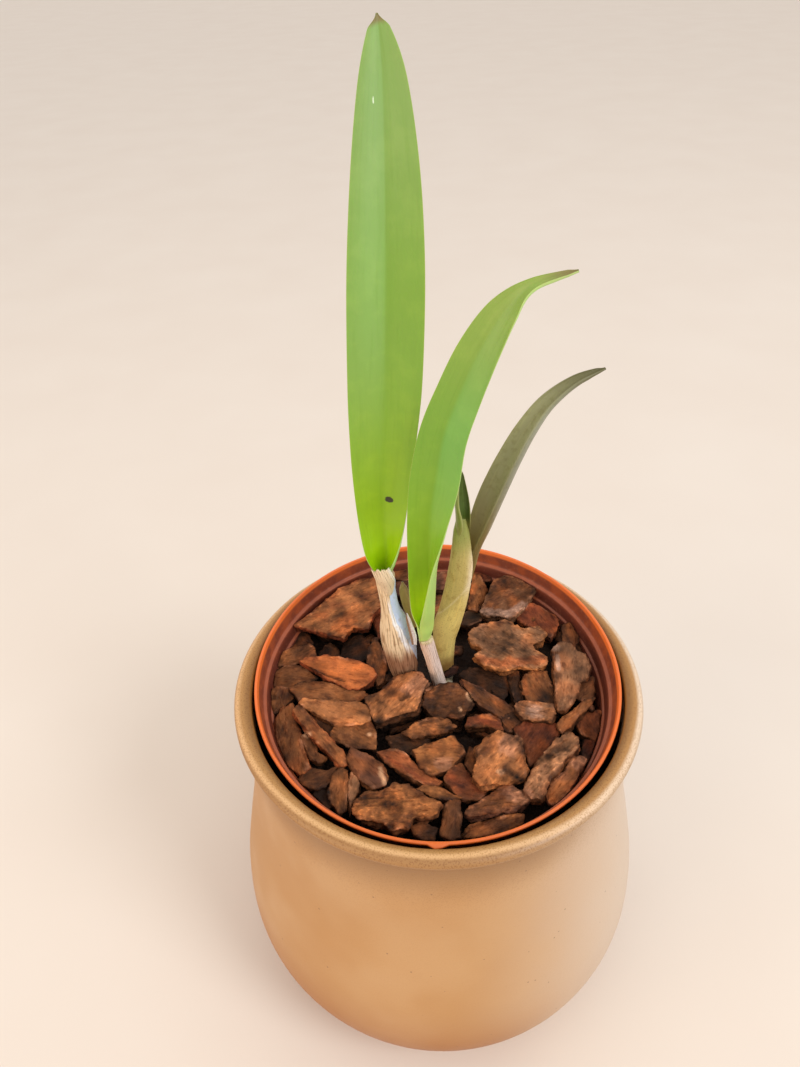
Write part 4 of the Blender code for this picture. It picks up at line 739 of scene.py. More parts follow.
def lay_chip(spec):
    """Lays a chip on its sloping plane: its centre, the turn of its own axes, its corners and thickness."""
    depth, thick, rise_right, rise_back = spec[:4]
    right, back = math.tan(math.radians(rise_right)), math.tan(math.radians(rise_back))
    normal = Vector((-right, -back, 1)).normalized()
    sights = [Vector((x, y, -READ_DEPTH)) - EYE for x, y in spec[-1]]
    middle = sum(sights, Vector()) / len(sights)
    centre = EYE + middle * ((depth + EYE.z) / (READ_DEPTH + EYE.z))
    spots = [EYE + sight * ((centre - EYE).dot(normal) / sight.dot(normal)) for sight in sights]
    ends = max(itertools.combinations(spots, 2), key=lambda pair: (pair[1] - pair[0]).length)
    along = (ends[1] - ends[0]).normalized()
    turn = Matrix((along, normal.cross(along), normal)).transposed()
    flat = [turn.transposed() @ (spot - centre) for spot in spots]
    return centre, turn, [(p.x, p.y) for p in flat], thick


def chip_prism(laid, rng):
    """The chip's plain solid, as it is in the construction, in the chip's own axes."""
    corners, thick = laid[2:]
    lift = [rng.uniform(-CHIP_ROUGHNESS, CHIP_ROUGHNESS) for _ in corners]
    points = []
    for share, level in CHIP_RINGS:
        for (px, py), bump in zip(corners, lift):
            points.append(Vector((px * share, py * share, thick * level + bump)))
    n = len(corners)
    points.append(Vector((0, 0, 0)))
    points.append(Vector((0, 0, -thick)))
    faces = []
    for k in range(n):
        k2 = (k + 1) % n
        faces.append((4 * n, k, k2))
        faces.append((4 * n + 1, 3 * n + k2, 3 * n + k))
        for ring in (0, n, 2 * n):
            faces.append((ring + k, ring + n + k, ring + n + k2))
            faces.append((ring + k, ring + n + k2, ring + k2))
    return points, faces


def random_spot(rng):
    """A spot on the bark, drawn evenly."""
    a = rng.uniform(0, 2 * math.pi)
    r = FILLER_REACH * math.sqrt(rng.random())
    return r * math.cos(a), r * math.sin(a)


def turned(x, y, u, v, yaw):
    """Where a corner at (u, v) from a chip's middle (x, y) comes when the chip is turned by yaw."""
    cos, sin = math.cos(yaw), math.sin(yaw)
    return x + u * cos - v * sin, y + u * sin + v * cos


def filler_specs(rng):
    """Smaller chips, dropped between the ones that show and a little deeper."""
    specs, spots = [], []
    while len(specs) < FILLER_CHIPS:
        x, y = random_spot(rng)
        near_plant = math.hypot(x - PLANT_CENTRE[0], y - PLANT_CENTRE[1]) < PLANT_CLEARANCE
        if near_plant or any(math.hypot(x - u, y - v) < FILLER_SPACING for u, v in spots):
            continue
        spots.append((x, y))
        half_length, half_width, yaw = rng.uniform(6, 9.5), rng.uniform(3.5, 5.5), rng.uniform(0, math.pi)
        corners = []
        for k in range(FILLER_CORNERS):
            a = 2 * math.pi * k / FILLER_CORNERS
            u, v = math.cos(a) * half_length * rng.uniform(0.85, 1.1), math.sin(a) * half_width
            corners.append(turned(x, y, u, v, yaw))
        specs.append((rng.uniform(11, 13), rng.uniform(4, 6), rng.uniform(-12, 12), rng.uniform(-12, 12),
                      "umber", "dark", 0.5, corners))
    return specs


def crumb_specs(rng):
    """Small broken bits in the gaps between the chips, after the two chips deep in the widest gap."""
    specs = list(DEEP_CHIPS)
    for _ in range(CRUMBS):
        x, y = random_spot(rng)
        length, yaw = rng.uniform(2.0, 4.5), rng.uniform(0, math.pi)
        width = length * rng.uniform(0.35, 0.7)
        corners = []
        for k in range(CRUMB_CORNERS):
            u = math.cos(CRUMB_CORNER_TURN * k) * length * rng.uniform(0.8, 1.1)
            v = math.sin(CRUMB_CORNER_TURN * k) * width * rng.uniform(0.8, 1.1)
            corners.append(turned(x, y, u, v, yaw))
        specs.append((rng.uniform(9.5, 13.0), rng.uniform(1.4, 2.8), rng.uniform(-30, 30),
                      rng.uniform(-30, 30), rng.choice(["umber", "red", "brown", "dark"]), "dark", 0.4,
                      corners))
    return specs


def in_outline(x, y, corners):
    """Whether a spot lies inside an outline: a line from it crosses the outline an odd number of times."""
    inside = False
    for (x0, y0), (x1, y1) in zip(corners, corners[1:] + corners[:1]):
        if (y0 > y) != (y1 > y) and x < x0 + (x1 - x0) * (y - y0) / (y1 - y0):
            inside = not inside
    return inside


def pile_depth(x, y, chips):
    """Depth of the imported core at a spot: it rises into the underside of the chip above it."""
    depth = BARK_BASE_DEPTH
    for centre, turn, corners, thick in chips:
        normal = turn.col[2]
        high = centre.z - ((x - centre.x) * normal.x + (y - centre.y) * normal.y) / normal.z
        spot = turn.transposed() @ (Vector((x, y, high)) - centre)
        if in_outline(spot.x, spot.y, [(u * UNDER_SHARE, v * UNDER_SHARE) for u, v in corners]):
            depth = min(depth, thick - high - CHIP_SINK)
    return depth


def remeshed(points, faces, grain):
    """Even small faces over a plain solid: its points, their normals and its faces."""
    mesh = bpy.data.meshes.new("prism")
    mesh.from_pydata(points, [], faces)
    obj = bpy.data.objects.new("prism", mesh)
    bpy.context.scene.collection.objects.link(obj)
    mod = obj.modifiers.new("grain", "REMESH")
    mod.mode = "VOXEL"
    mod.voxel_size = grain
    fine = applied(obj)
    made = ([v.co.copy() for v in fine.vertices], [v.normal.copy() for v in fine.vertices],
            [tuple(f.vertices) for f in fine.polygons])
    bpy.data.objects.remove(obj)
    bpy.data.meshes.remove(mesh)
    bpy.data.meshes.remove(fine)
    return made


def stretch_distance(x, y, stripe):
    """How far a spot lies from a stripe's middle line."""
    x0, y0, x1, y1 = stripe[:4]
    dx, dy = x1 - x0, y1 - y0
    share = clamp(((x - x0) * dx + (y - y0) * dy) / (dx * dx + dy * dy))
    return math.hypot(x - x0 - dx * share, y - y0 - dy * share)


def weather(q, rugged, flat_share, inset):
    """How far a point of a chip stands out: flakes and fibres on its faces, torn layers at its sides."""
    side = 1.0 - flat_share
    flow = ripple(q, 8, 3.6, 4) * 2.4
    flake = math.floor(flow) + step(flow - math.floor(flow), 0.4, 0.6)
    height = 0.5 * ripple(q, 7.5) + 0.1 * ripple(q, 5, 0.9, 0.9)
    height += rugged * (0.45 * (flake + 0.5) + 0.45 * ripple(q, 2.2) + 0.3 * ripple(q, 1.1))
    worn = clamp(0.3 + 1.5 * ripple((q.x, q.y, 24), 6))
    height -= 0.5 * worn * step(inset, 1.3, 0.0)
    layer = q.z / 1.3 + 0.9 * ripple((q.x, q.y, 0), 6)
    torn = ripple((q.x, q.y, math.floor(layer) * 7.3), 4.5, 4.5, 1)
    ragged = 0.9 * torn + 0.5 * ripple(q, 3.0) + 0.45 * ripple(q, 1.3)
    return height * flat_share + ragged * side * (0.7 + 0.6 * rugged)


def chip_surface(spec, laid, prism, grain, number):
    """The chip as it looks, in the pot's own axes: points, faces, tones and grain places."""
    centre, turn, corners, thick = laid
    shift = Vector((13.7 * number, 5.1 * number, 2.9 * number))
    face, edge, rugged = BARK_TONES[spec[4]], BARK_TONES[spec[5]], spec[6]
    far = max(math.hypot(*corner) for corner in corners) + 9
    marks = [mark for mark in MARKS
             if math.hypot((mark[0] + mark[2]) / 2 - centre.x, (mark[1] + mark[3]) / 2 - centre.y) < far]
    sides = [(*a, *b) for a, b in zip(corners, corners[1:] + corners[:1])]
    found, normals, faces = remeshed(*prism, grain)
    points, tones, places, grit = [], [], [], []
    for p, n in zip(found, normals):
        q = p + shift
        flat_share = step(abs(n.z), 0.35, 0.85)
        inset = min(stretch_distance(p.x, p.y, side) for side in sides) if n.z > 0.35 else 0.0
        height = weather(q, rugged, flat_share, inset)
        coarse = clamp(0.15 + rugged + 0.6 * (1.0 - flat_share) + 0.5 * step(inset, 1.6, 0.3), 0.0, 1.2)
        shade = 1.0 + 0.3 * ripple(q, 9, 2, 2) + 0.9 * ripple(q, 5.2)
        shade += coarse * (0.45 * ripple(q, 2.2) + 0.2 * ripple(q, 0.9))
        shade *= 1.0 + 0.4 * clamp(height, -0.7, 0.5)
        shade *= 1.0 - 0.5 * (1.0 - flat_share) * clamp(-p.z / thick) - 0.4 * step(-n.z, 0.2, 0.7)
        blotch = step(noise.noise(q / 5.5 + Vector((7, 3, 1))), 0.15, 0.5)
        rim = step(inset + 1.4 * ripple(q, 2.5), 2.0, 0.2)
        tone = blend(face, edge, clamp((1.0 - flat_share) * 0.85 + 0.45 * blotch + 0.3 * rim))
        warm = step(noise.noise(q / 6.5 + Vector((1, 9, 4))), 0.0, 0.5) * flat_share
        tone = blend(tone, BARK_TONES["orange"], 0.3 * warm)
        # Pale pink flecks along the top rims: worn breaks, with painted highlight where the rims catch the
        # light.
        worn_and_lit_rims = step(noise.noise(q / 3.1 + Vector((5, 2, 8))), 0.2, 0.5) * step(inset, 1.3, 0.2) * flat_share
        tone = blend(tone, BARK_TONES["pink"], 0.5 * worn_and_lit_rims)
        spot = turn @ p + centre
        # Painted shade: chips lying deeper in the pot are darker.
        shade *= 1.0 - DEEP_SHADE * step(-spot.z, *DEEP_SHADE_DEPTHS)
        seen = EYE + (spot - EYE) * ((READ_DEPTH + EYE.z) / (EYE.z - spot.z))
        if n.z > -0.3:
            wobble = 1.0 + 0.5 * ripple(q, 1.7)
            for mark in marks:
                share = step(stretch_distance(seen.x, seen.y, mark) * wobble, mark[4] * 1.4, mark[4] * 0.5)
                if share:
                    tone = blend(tone, BARK_TONES[mark[5]], share * 0.75)
                    height -= 0.5 * share if mark[5] == "dark" else 0.0
        spot = turn @ (p + n * height) + centre
        limit = pot_inner_radius(-spot.z) - WALL_CLEARANCE
        reach = math.hypot(spot.x, spot.y)
        if reach > limit:
            spot.x *= limit / reach
            spot.y *= limit / reach
        points.append(spot)
        tones.append((*[channel * shade for channel in tone[:3]], 1.0))
        places.append(q)
        grit.append(coarse)
    return points, faces, tones, places, grit


def bark_paint():
    """Split pine bark: gritty and fibrous, with a slight waxy sheen on its broad faces."""
    paint = Paint("pine_bark", 0.75, specular=0.2)
    fibre = paint.noise(0.9, 4.0, paint.place("local", (0.3, 1.0, 1.0)))
    grain = paint.noise(1.0, 5.0, paint.place("local", (0.7, 1.0, 1.0)))
    patch = paint.noise(3.4, 5.0, paint.place("local", (0.6, 1.0, 1.0)))
    coarse = paint.mask("grit")
    paint.colour = paint.tone()
    paint.tint((0.6, 0.51, 0.43), fibre, 0.48, 0.28)
    light = paint.times(paint.ramp(grain, 0.5, 0.74), coarse)
    paint.tint((1.8, 1.74, 1.68), light)
    dark = paint.times(paint.ramp(grain, 0.46, 0.26), coarse)
    paint.tint((0.56, 0.5, 0.43), dark)
    paint.tint((0.46, 0.41, 0.37), patch, 0.47, 0.3)
    paint.tint((1.3, 1.25, 1.2), patch, 0.54, 0.68)
    rough = paint.ramp(patch, 0.35, 0.65, 0.6, 0.85)
    normal = paint.bump(fibre, 0.3)
    return paint.done(rough, paint.bump(grain, 0.5, normal))


def bark_group(name, jobs, mat):
    """One piece from several chips: jobs are (spec, laid, prism, size of its small faces, number)."""
    points, faces, tones, places, grit = [], [], [], [], []
    for job in jobs:
        made, made_faces, made_tones, made_places, made_grit = chip_surface(*job)
        first = len(points)
        points += to_world(made)
        faces += [tuple(first + i for i in face) for face in made_faces]
        tones += made_tones
        places += made_places
        grit += made_grit
    mesh_object(name, points, faces, mat, {"grit": grit}, tones, places, "bark", ["bark_bed"])


def bark_core(chips, mat):
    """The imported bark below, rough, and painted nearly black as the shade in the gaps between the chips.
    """
    bottom = POT_DEPTH - POT_FLOOR - 0.3
    outer = pot_inner_radius(BARK_BASE_DEPTH) - CORE_CLEARANCE
    points = [(0.0, 0.0, -bottom)]
    for depth in (bottom, *CORE_DEPTHS):
        r = pot_inner_radius(depth) - CORE_CLEARANCE
        points += [(x, y, -depth) for x, y in circle(r, CORE_SPOKES)]
    for i in range(CORE_RINGS):
        for x, y in circle(outer * (1 - i / CORE_RINGS), CORE_SPOKES):
            rough = 1.1 * ripple((x, y, 0), 3.1) + 0.5 * ripple((x, y, 5), 1)
            points.append((x, y, -pile_depth(x, y, chips) - 0.6 + rough))
    points.append((0.0, 0.0, -pile_depth(0, 0, chips)))
    faces = pointed_faces(CORE_RINGS + 1 + len(CORE_DEPTHS), CORE_SPOKES)
    tones, masks = [rgb(*CORE_SHADE_TONE)] * len(points), {"grit": [1.0] * len(points)}
    core = mesh_object("bark_core", to_world(points), faces, mat, masks, tones, points, "bark", ["bark_bed"])
    face_out(core)


def bark():
    rng = random.Random(BARK_SEED)
    shown = len(CHIPS)
    specs = CHIPS + filler_specs(rng)
    jobs = []
    for number, spec in enumerate(specs):
        laid = lay_chip(spec)
        grain = CHIP_GRAIN if number < shown else FILLER_GRAIN
        jobs.append((spec, laid, chip_prism(laid, rng), grain, number))
    chips = [job[1] for job in jobs]
    for number, spec in enumerate(crumb_specs(rng), start=len(jobs)):
        laid = lay_chip(spec)
        jobs.append((spec, laid, chip_prism(laid, rng), CRUMB_GRAIN, number))
    mat = bark_paint()
    left = [job for job in jobs[:shown] if job[1][0].x < LEFT_CHIPS_END]
    bark_group("bark_chips_left", left, mat)
    bark_group("bark_chips_right", [job for job in jobs[:shown] if job not in left], mat)
    bark_group("bark_chips_under", jobs[shown:], mat)
    bark_core(chips, mat)


def wing(lift, half_width, share):
    """A point of half a leaf's cross-section, which slopes more and more towards the margin."""
    steps = 8
    u = v = 0.0
    for k in range(steps):
        slope = math.radians(lift) * (0.3 + 0.7 * share * (k + 0.5) / steps)
        u += math.cos(slope) * share * half_width / steps
        v += math.sin(slope) * share * half_width / steps
    return u, v, math.radians(lift) * (0.3 + 0.7 * share)


def leaf(name, stations, mat, slot, stands_for, thick_mid=1.5, thick_edge=0.8, ragged=0.0):
    """A channelled leaf, closed round its margins, which carries how far across and along a point is."""
    rows = smooth_path(stations, LEAF_ROWS)
    shares = [math.sin(math.pi / 2 * k / LEAF_COLUMNS) for k in range(-LEAF_COLUMNS, LEAF_COLUMNS + 1)]
    points, across, along_mask, upper_mask = [], [], [], []
    last = len(rows) - 1
    narrow = 0.6 if stations[-1][3] < 1.0 else 0.0
    lengths = [0.0]
    for a, b in zip(rows, rows[1:]):
        lengths.append(lengths[-1] + (Vector(b[:3]) - Vector(a[:3])).length)
    for i, row in enumerate(rows):
        x, y, z, half_width, lift_left, lift_right, turn, rise = row
        ahead, behind = rows[min(i + 1, last)], rows[max(i - 1, 0)]
        along = (Vector(ahead[:3]) - Vector(behind[:3])).normalized()
        turn, rise = math.radians(turn), math.radians(rise)
        face = Vector((math.sin(turn) * math.cos(rise), -math.cos(turn) * math.cos(rise), math.sin(rise)))
        face = (face - along * face.dot(along)).normalized()
        side = along.cross(face)
        end = clamp(lengths[i] / 4) * clamp((lengths[-1] - lengths[i]) / 6 + (0.0 if narrow else 0.45))
        half_width = max(half_width, 0.5) * (1.0 - narrow * step(lengths[i], lengths[-1] - 2.5, lengths[-1]))
        upper, lower = [], []
        for s in shares:
            lift = lift_left if s < 0 else lift_right
            u, v, slope = wing(lift, half_width, abs(s))
            sign = -1 if s < 0 else 1
            tilt = slope * sign * min(1.0, abs(s) * 8)
            thick = (thick_mid + (thick_edge - thick_mid) * abs(s)) * (0.45 + 0.55 * end)
            thick *= math.sqrt(max(1.0 - abs(s) ** 12, 0.0)) * 0.92 + 0.08
            wave = 0.12 * ripple((s * 7, lengths[i] / 22, len(name)), 1)
            wave += 0.06 * ripple((s * 2, lengths[i] / 7, 3), 1)
            top = Vector((x, y, z)) + side * (sign * u) + face * (v + wave)
            if ragged:
                torn = ripple((s * 2.2, 1, 0), 1) + 0.6 * ripple((s * 7, 5, 0), 1)
                top += along * (ragged * torn * step(lengths[i], lengths[-1] - 5, lengths[-1]))
            upper.append(top)
            lower.append(top - (side * -math.sin(tilt) + face * math.cos(tilt)) * thick)
        points += upper + lower[::-1]
        across += shares + shares[::-1]
        along_mask += [lengths[i]] * (2 * len(shares))
        upper_mask += [1.0] * len(shares) + [0.0] * len(shares)
    half, ring = len(shares), 2 * len(shares)
    faces = tube_faces(len(rows), ring)
    for base in (0, last * ring):
        for k in range(half - 1):
            faces.append((base + k, base + k + 1, base + ring - 2 - k, base + ring - 1 - k))
    masks = {"across": across, "along": along_mask, "upper": upper_mask,
             "left_over": [lengths[-1] - value for value in along_mask]}
    face_out(mesh_object(name, points, faces, mat, masks, slot=slot, stands_for=stands_for))


def leaf_coordinates(paint, fine=1.0):
    """Texture place that runs along the leaf: (across, along), stretched along it."""
    made = paint.node("ShaderNodeCombineXYZ")
    paint.put(made.inputs["X"], paint.times(paint.mask("across"), 8.0 * fine))
    paint.put(made.inputs["Y"], paint.times(paint.mask("along"), 0.06 * fine))
    paint.put(made.inputs["Z"], paint.mask("upper"))
    return made.outputs["Vector"]


def leaf_paint(name, base, low, left, right, top, under, sheen, tip_length):
    """Waxy leaf: yellow-green at its base, its own tone on each wing, a painted sheen left of the midrib and
    painted shade in the groove along the midrib.
    """
    paint = Paint(name, 0.38)
    across, along, upper = paint.mask("across"), paint.mask("along"), paint.mask("upper")
    veins = paint.noise(1.0, 3.0, leaf_coordinates(paint))
    mottle = paint.noise(5.0, 4.0)
    wings = paint.mix(left, right, across, -0.12, 0.1)
    paint.colour = paint.mix(paint.mix(base, low, along, 4.0, 30.0), wings, along, 20.0, 82.0)
    paint.over(top, paint.mask("left_over"), 60.0, 12.0, 0.0, 0.8)
    # Painted sheen: a bluish light band left of the midrib.
    painted_sheen_band = paint.times(paint.ramp(across, -1.0, -0.4), paint.ramp(across, 0.03, -0.05))
    painted_sheen_band = paint.times(painted_sheen_band, paint.ramp(along, 50.0, 105.0))
    paint.tint(sheen, painted_sheen_band)
    middle = paint.sum("ABSOLUTE", across, 0.0)
    # Painted shade: darker and yellower near the midrib, in the fold's groove.
    paint.tint((0.86, 0.92, 0.74), middle, 0.3, 0.0, 0.0, 0.5)
    paint.tint((0.84, 0.88, 0.7), veins, 0.5, 0.75, 0.0, 0.4)
    paint.tint((1.1, 1.06, 1.1), mottle, 0.45, 0.7)
    paint.over(rgb(186, 186, 96), middle, 0.975, 1.0, 0.0, 0.4)
    tip = paint.sum("SUBTRACT", paint.mask("left_over"), paint.times(mottle, 2.0))
    paint.over(rgb(132, 110, 70), tip, tip_length, 0.2, 0.0, 0.85)
    paint.colour = paint.mix(paint.mix(paint.colour, under, 0.7), paint.colour, upper)
    paint.shader.inputs["Subsurface Weight"].default_value = 0.12
    paint.shader.inputs["Subsurface Radius"].default_value = (0.5, 1.0, 0.2)
    paint.shader.inputs["Subsurface Scale"].default_value = 0.002
    return paint, paint.ramp(mottle, 0.3, 0.7, 0.32, 0.44), paint.bump(veins, 0.06)


def leaf_1_paint():
    paint, rough, normal = leaf_paint(
        "leaf_1_skin", rgb(156, 196, 2), rgb(138, 178, 10), rgb(128, 168, 72), rgb(122, 162, 54),
        rgb(132, 164, 86), rgb(176, 214, 146), (1.1, 1.12, 1.45), 1.6)
    paint.over(rgb(48, 48, 24), paint.spot(-12.6, 201.4, 1.0))
    paint.over(rgb(220, 234, 206), paint.spot(-11.6, 304.3, 0.4, 3.5))
    return paint.done(rough, normal)


def leaf_2_paint():
    return Paint.done(*leaf_paint(
        "leaf_2_skin", rgb(204, 236, 32), rgb(144, 186, 36), rgb(118, 162, 48), rgb(116, 172, 72),
        rgb(146, 168, 78), rgb(190, 222, 140), (1.0, 1.0, 1.0), 9.0))


def bronze_paint(name, low, high, inner, reach, tip_from):
    """A young leaf: low colour at its base to high within a reach, another inside, and a dark tip, with a
    painted sheen on its right half and painted shade on its outer right wing.
    """
    paint = Paint(name, 0.4)
    along, upper = paint.mask("along"), paint.mask("upper")
    veins = paint.noise(1.0, 3.0, leaf_coordinates(paint))
    mottle = paint.noise(1.6, 4.0)
    rise = paint.ramp(along, 0.2 * reach, reach)
    # Painted sheen: blue-grey over the right half of the leaf's middle stretch.
    painted_sheen = paint.times(paint.ramp(paint.mask("across"), 0.0, 0.6), paint.ramp(along, 42.0, 68.0))
    paint.colour = paint.mix(paint.mix(low, high, rise), paint.mix(low, inner, rise), upper)
    paint.over(rgb(158, 164, 146), paint.times(painted_sheen, 0.6))
    paint.tint((0.8, 0.76, 0.66), mottle, 0.5, 0.7, 0.0, 0.6)
    paint.tint((1.15, 1.15, 1.1), veins, 0.5, 0.75)
    edge = paint.ramp(paint.sum("ABSOLUTE", paint.mask("across"), 0.0), 0.95, 0.99, 0.0, 0.35)
    paint.over(rgb(182, 176, 116), edge)
    tip = paint.ramp(paint.mask("left_over"), tip_from, 0.0)
    # Painted shade: the outer part of the right wing darker, fading out from 59 to 99 mm along.
    wing = paint.times(paint.ramp(paint.mask("across"), 0.4, 0.7), paint.ramp(along, 99.0, 59.0))
    paint.tint((0.74, 0.7, 0.66), wing)
    paint.over(rgb(96, 90, 48), tip)
    return paint.done(paint.ramp(mottle, 0.3, 0.7, 0.34, 0.5), paint.bump(veins, 0.08))


def papery_paint(name, left, right, middle, bare=0.0):
    """A dry scrap of sheath, one tone left and one right of the middle, with fine dark fibres.

    With bare at 1, its low right side is smooth and painted blue-white as a reflection, like the strip of
    the bulb below.
    """
    paint = Paint(name, 0.6, specular=0.4)
    across = paint.mask("across")
    fibre = paint.noise(1.0, 3.0, leaf_coordinates(paint, 1.4))
    speck = paint.ramp(paint.noise(0.5, 2.0), 0.6, 0.72, 0.0, 0.6)
    paint.colour = paint.mix(left, right, across, middle - 0.15, middle + 0.15)
    paint.tint((0.4, 0.32, 0.25), fibre, 0.46, 0.34, 0.0, 0.9)
    paint.tint((0.5, 0.4, 0.32), speck)
    low = paint.sum("ADD", across, paint.times(paint.mask("along"), 0.075))
    # Painted reflection: the smooth bare side blue-white.
    smooth = paint.times(paint.ramp(low, -0.1, -0.25), bare)
    paint.over(rgb(212, 228, 255), smooth)
    return paint.done(None, paint.bump(fibre, 0.2))


def stem(name, stations, sides, rows_per_span, shape, mat, slot, stands_for):
    """A stem or sheath. shape(angle, height, q) gives how far it stands proud, its tone and how fibrous."""
    rows = smooth_path(stations, rows_per_span)
    points, tones, places, fibres = [], [], [], []
    last = len(rows) - 1
    for i, (x, y, z, half_w, half_d) in enumerate(rows):
        ahead, behind = rows[min(i + 1, last)], rows[max(i - 1, 0)]
        along = (Vector(ahead[:3]) - Vector(behind[:3])).normalized()
        side = (Vector((1, 0, 0)) - along * along.x).normalized()
        back = along.cross(side)
        for k in range(sides):
            a = 2 * math.pi * k / sides
            out = side * math.cos(a) * half_w + back * math.sin(a) * half_d
            proud, tone, fibre = shape(math.degrees(a), z, Vector((math.cos(a) * 3, math.sin(a) * 3, z)))
            points.append(Vector((x, y, z)) + out + out.normalized() * proud)
            tones.append(tone)
            places.append((a * 4.0, z, 0))
            fibres.append(fibre)
    ends = [tuple(range(sides))[::-1], tuple(range(last * sides, (last + 1) * sides))]
    faces = tube_faces(len(rows), sides) + ends
    face_out(mesh_object(name, points, faces, mat, {"tone_fibre": fibres}, tones, places, slot, stands_for))


def sheath_paint():
    """Dry papery sheath: long fine fibres, dark between them."""
    paint = Paint("papery_sheath", 0.62, specular=0.4)
    fibre = paint.noise(0.36, 2.0, paint.place("local", (1.0, 0.05, 1.0)))
    blotch = paint.noise(2.2, 4.0, paint.place("local"))
    amount = paint.mask("tone_fibre")
    dark = paint.times(paint.ramp(fibre, 0.5, 0.36), amount)
    paint.colour = paint.tone()
    paint.tint((0.42, 0.32, 0.25), dark)
    light = paint.times(paint.ramp(fibre, 0.55, 0.7), amount)
    paint.tint((1.15, 1.13, 1.1), light)
    paint.tint((0.75, 0.66, 0.56), blotch, 0.52, 0.72, 0.0, 0.7)
    return paint.done(paint.ramp(amount, 0.0, 1.0, 0.38, 0.7), paint.bump(fibre, 0.16))


def bulb_shape(angle, z, q):
    """The fibrous sheath leaves a smooth strip bare down the bulb's right side, painted blue-white as a
    reflection.
    """
    straw, brown = rgb(238, 210, 170), rgb(146, 96, 66)
    # Painted reflection: the bare strip's blue-white colour; the white is for the fibre strands.
    reflection_blue, white = rgb(212, 228, 255), rgb(252, 250, 248)
    edge = 350
    for (z0, a0), (z1, a1) in zip(BARE_EDGE, BARE_EDGE[1:]):
        if z0 <= z <= z1:
            edge = a0 + (a1 - a0) * (z - z0) / (z1 - z0)
    edge += 4 * ripple((z, 0, 0), 3) + 3 * ripple((z * 1.3, 4, 0), 1)
    bare = step(angle, edge - 2, edge + 2) if angle > 180 else step(angle, 40, 30)
    bare *= step(z, 127, 130) * step(z, 172, 169)
    fibre = ripple((q.x * 2.2, q.y * 2.2, z), 1, 1, 9)
    proud = (0.3 + 0.2 * fibre) * (1 - bare)
    strand = 0.0
    if angle > 180:
        strand = step(angle, edge - 24, edge - 16) * step(z, 139, 146) * step(z, 166, 160)
    tone = blend(blend(straw, white, strand), brown, step(z + 3 * fibre, 146, 138) * 0.9)
    return proud, blend(tone, reflection_blue, bare), 0.9 - 0.8 * bare - 0.3 * strand


def shoot_2_shape(angle, z, q):
    """Pinkish brown on the left, with lilac-white fibres on the right, and a dry rim at the top."""
    brown, lilac, rim = rgb(244, 212, 190), rgb(240, 216, 202), rgb(222, 206, 150)
    right = step(angle, 262, 288) if angle > 180 else step(angle, 60, 40)
    fibre = ripple((q.x * 2.6, q.y * 2.6, z), 1, 1, 7)
    tone = blend(blend(brown, lilac, right * 0.9), rim, step(z, 146.2, 147.2) * 0.7)
    return 0.16 + 0.2 * fibre, tone, 0.7


def shoot_3_shape(angle, z, q):
    """Rolled sheaths: the outer one ends at a slanting pale rim, and the skin turns yellow lower down."""
    khaki, pale = rgb(194, 172, 100), rgb(246, 228, 190)
    light, shade = rgb(226, 202, 118), rgb(140, 100, 50)
    right = step(angle, 285, 335) if angle > 180 else step(angle, 60, 30)
    seam = 156.5 + 7.5 * math.sin(math.radians(angle - 256))
    tone = blend(khaki, pale, right * step(z, 150, 158) * step(z, 180, 168) * 0.9)
    tone = blend(tone, rgb(134, 148, 66), step(z, 172, 184) * 0.8)
    tone = blend(tone, light, step(z, seam + 1, seam - 6) * 0.85)
    tone = blend(tone, shade, step(z + 2.5 * ripple(q, 2.5), 136, 127) * 0.9)
    rim = step(abs(z - seam + 0.2), 0.9, 0.2)
    proud = 0.14 * step(z, seam, seam - 1.2)
    return proud + 0.06 * ripple(q, 1.5), blend(tone, pale, rim * 0.25), 0.0


def young_skin_paint():
    """The youngest growth: freckled and blotched brown over its own tones, with pale veins."""
    paint = Paint("young_shoot_skin", 0.42)
    speck = paint.ramp(paint.noise(0.5, 2.0, paint.place("local")), 0.56, 0.7)
    blotch = paint.ramp(paint.noise(2.6, 5.0, paint.place("local", (1.0, 0.6, 1.0))), 0.5, 0.72)
    veins = paint.noise(0.6, 3.0, paint.place("local", (1.0, 0.07, 1.0)))
    paint.colour = paint.tone()
    paint.tint((0.72, 0.62, 0.5), paint.times(blotch, 0.7))
    paint.tint((0.6, 0.5, 0.4), paint.times(speck, 0.7))
    paint.tint((1.2, 1.18, 1.15), veins, 0.5, 0.75)
    return paint.done(None, paint.bump(veins, 0.06))


def roots_finish():
    """The roots stay as built, deep in the bark, with a corky skin."""
    paint = Paint("corky_root", 0.8)
    paint.colour = paint.mix(rgb(206, 196, 166), rgb(150, 130, 96), paint.noise(2.4, 4.0), 0.4, 0.65)
    mat = paint.done(None, paint.bump(paint.noise(1.1, 3.0), 0.2))
    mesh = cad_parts["rhizome_roots"].data
    mesh.materials.clear()
    mesh.materials.append(mat)


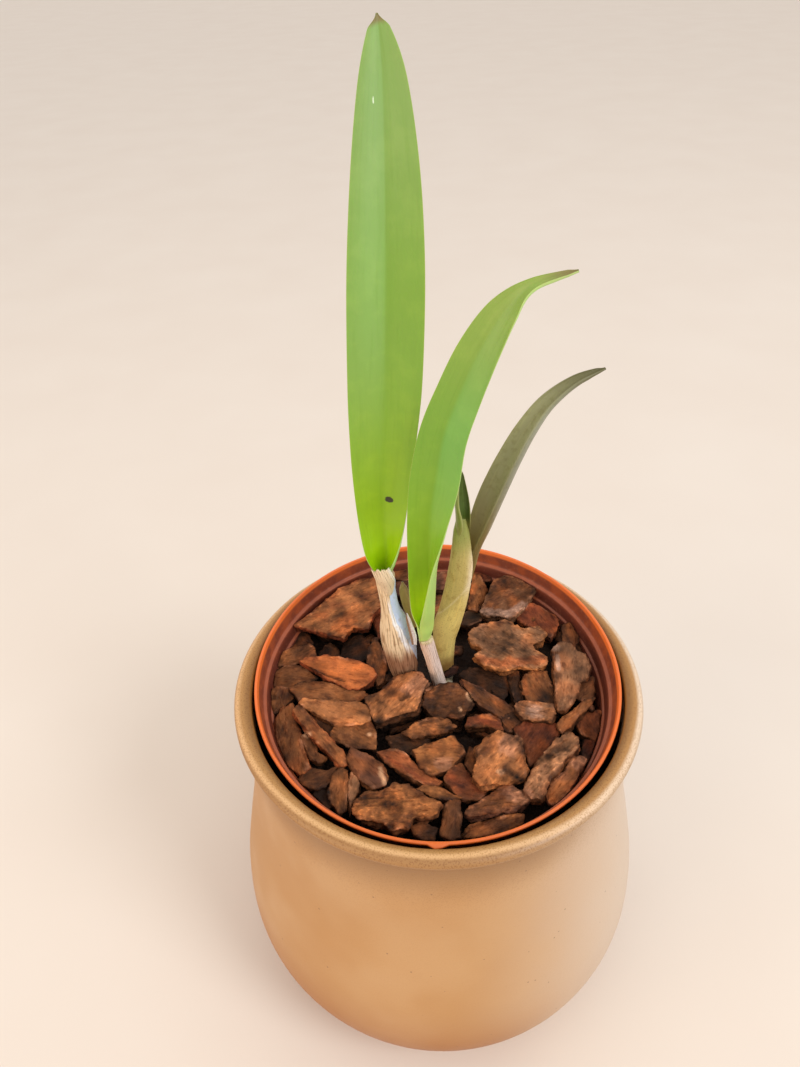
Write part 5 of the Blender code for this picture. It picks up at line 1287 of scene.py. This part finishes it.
def plant():
    fibre, green = sheath_paint(), young_skin_paint()
    stem("bulb_sheath", PSEUDOBULB, 160, 22, bulb_shape, fibre, "papery_sheath", ["pseudobulb_1"])
    collar = papery_paint("dry_collar", rgb(242, 232, 214), rgb(240, 216, 180), -0.75, 1.0)
    leaf("bulb_collar", SHEATH_1_COLLAR, collar, "papery_sheath", ["pseudobulb_1"], 0.8, 0.6, 1.6)
    stem("shoot_2_sheath", SHOOT_2, 72, 30, shoot_2_shape, fibre, "papery_sheath", ["shoot_2"])
    stem("shoot_3_rolled", SHOOT_3, 96, 22, shoot_3_shape, green, "young_green", ["shoot_3"])
    leaf("leaf_1_blade", LEAF_1, leaf_1_paint(), "leaf_green", ["leaf_1"])
    leaf("leaf_2_blade", LEAF_2, leaf_2_paint(), "leaf_green", ["leaf_2"])
    olive = bronze_paint("olive_leaf", rgb(160, 158, 88), rgb(140, 150, 72), rgb(84, 106, 38), 5.0, 2.0)
    bronze = bronze_paint("bronze_leaf", rgb(140, 118, 56), rgb(142, 140, 100), rgb(166, 162, 118),
                          68.0, 26.0)
    back = bronze_paint("olive_sheath", rgb(196, 166, 104), rgb(178, 152, 92), rgb(190, 164, 104),
                        14.0, 0.01)
    leaf("leaf_3_short_blade", [LEAF_3_FOOT] + LEAF_3_SHORT, olive, "young_green", ["leaf_3_short"], 1.0)
    leaf("leaf_3_long_blade", LEAF_3_LONG_FOOT + LEAF_3_LONG, bronze, "bronze_green", ["leaf_3_long"], 1.2)
    leaf("sheath_2_back_blade", SHEATH_2_BACK, back, "young_green", ["sheath_2_back"], 0.8, 0.7)
    dry = papery_paint("dry_flap", rgb(168, 128, 96), rgb(246, 240, 236), -0.2)
    leaf("sheath_2_flap_blade", SHEATH_2_FLAP, dry, "papery_sheath", ["sheath_2_flap"], 0.7, 0.65)


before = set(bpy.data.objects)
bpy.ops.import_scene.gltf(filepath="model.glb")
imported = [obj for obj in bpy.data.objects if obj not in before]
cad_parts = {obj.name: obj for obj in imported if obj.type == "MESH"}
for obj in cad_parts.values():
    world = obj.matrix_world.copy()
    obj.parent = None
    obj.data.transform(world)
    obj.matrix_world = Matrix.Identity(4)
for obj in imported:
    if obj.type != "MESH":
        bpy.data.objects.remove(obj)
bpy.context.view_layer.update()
bpy.context.scene.view_settings.view_transform = "Standard"
add_camera()
add_floor()
add_lights()
cachepot()
nursery_pot()
bark()
plant()
roots_finish()
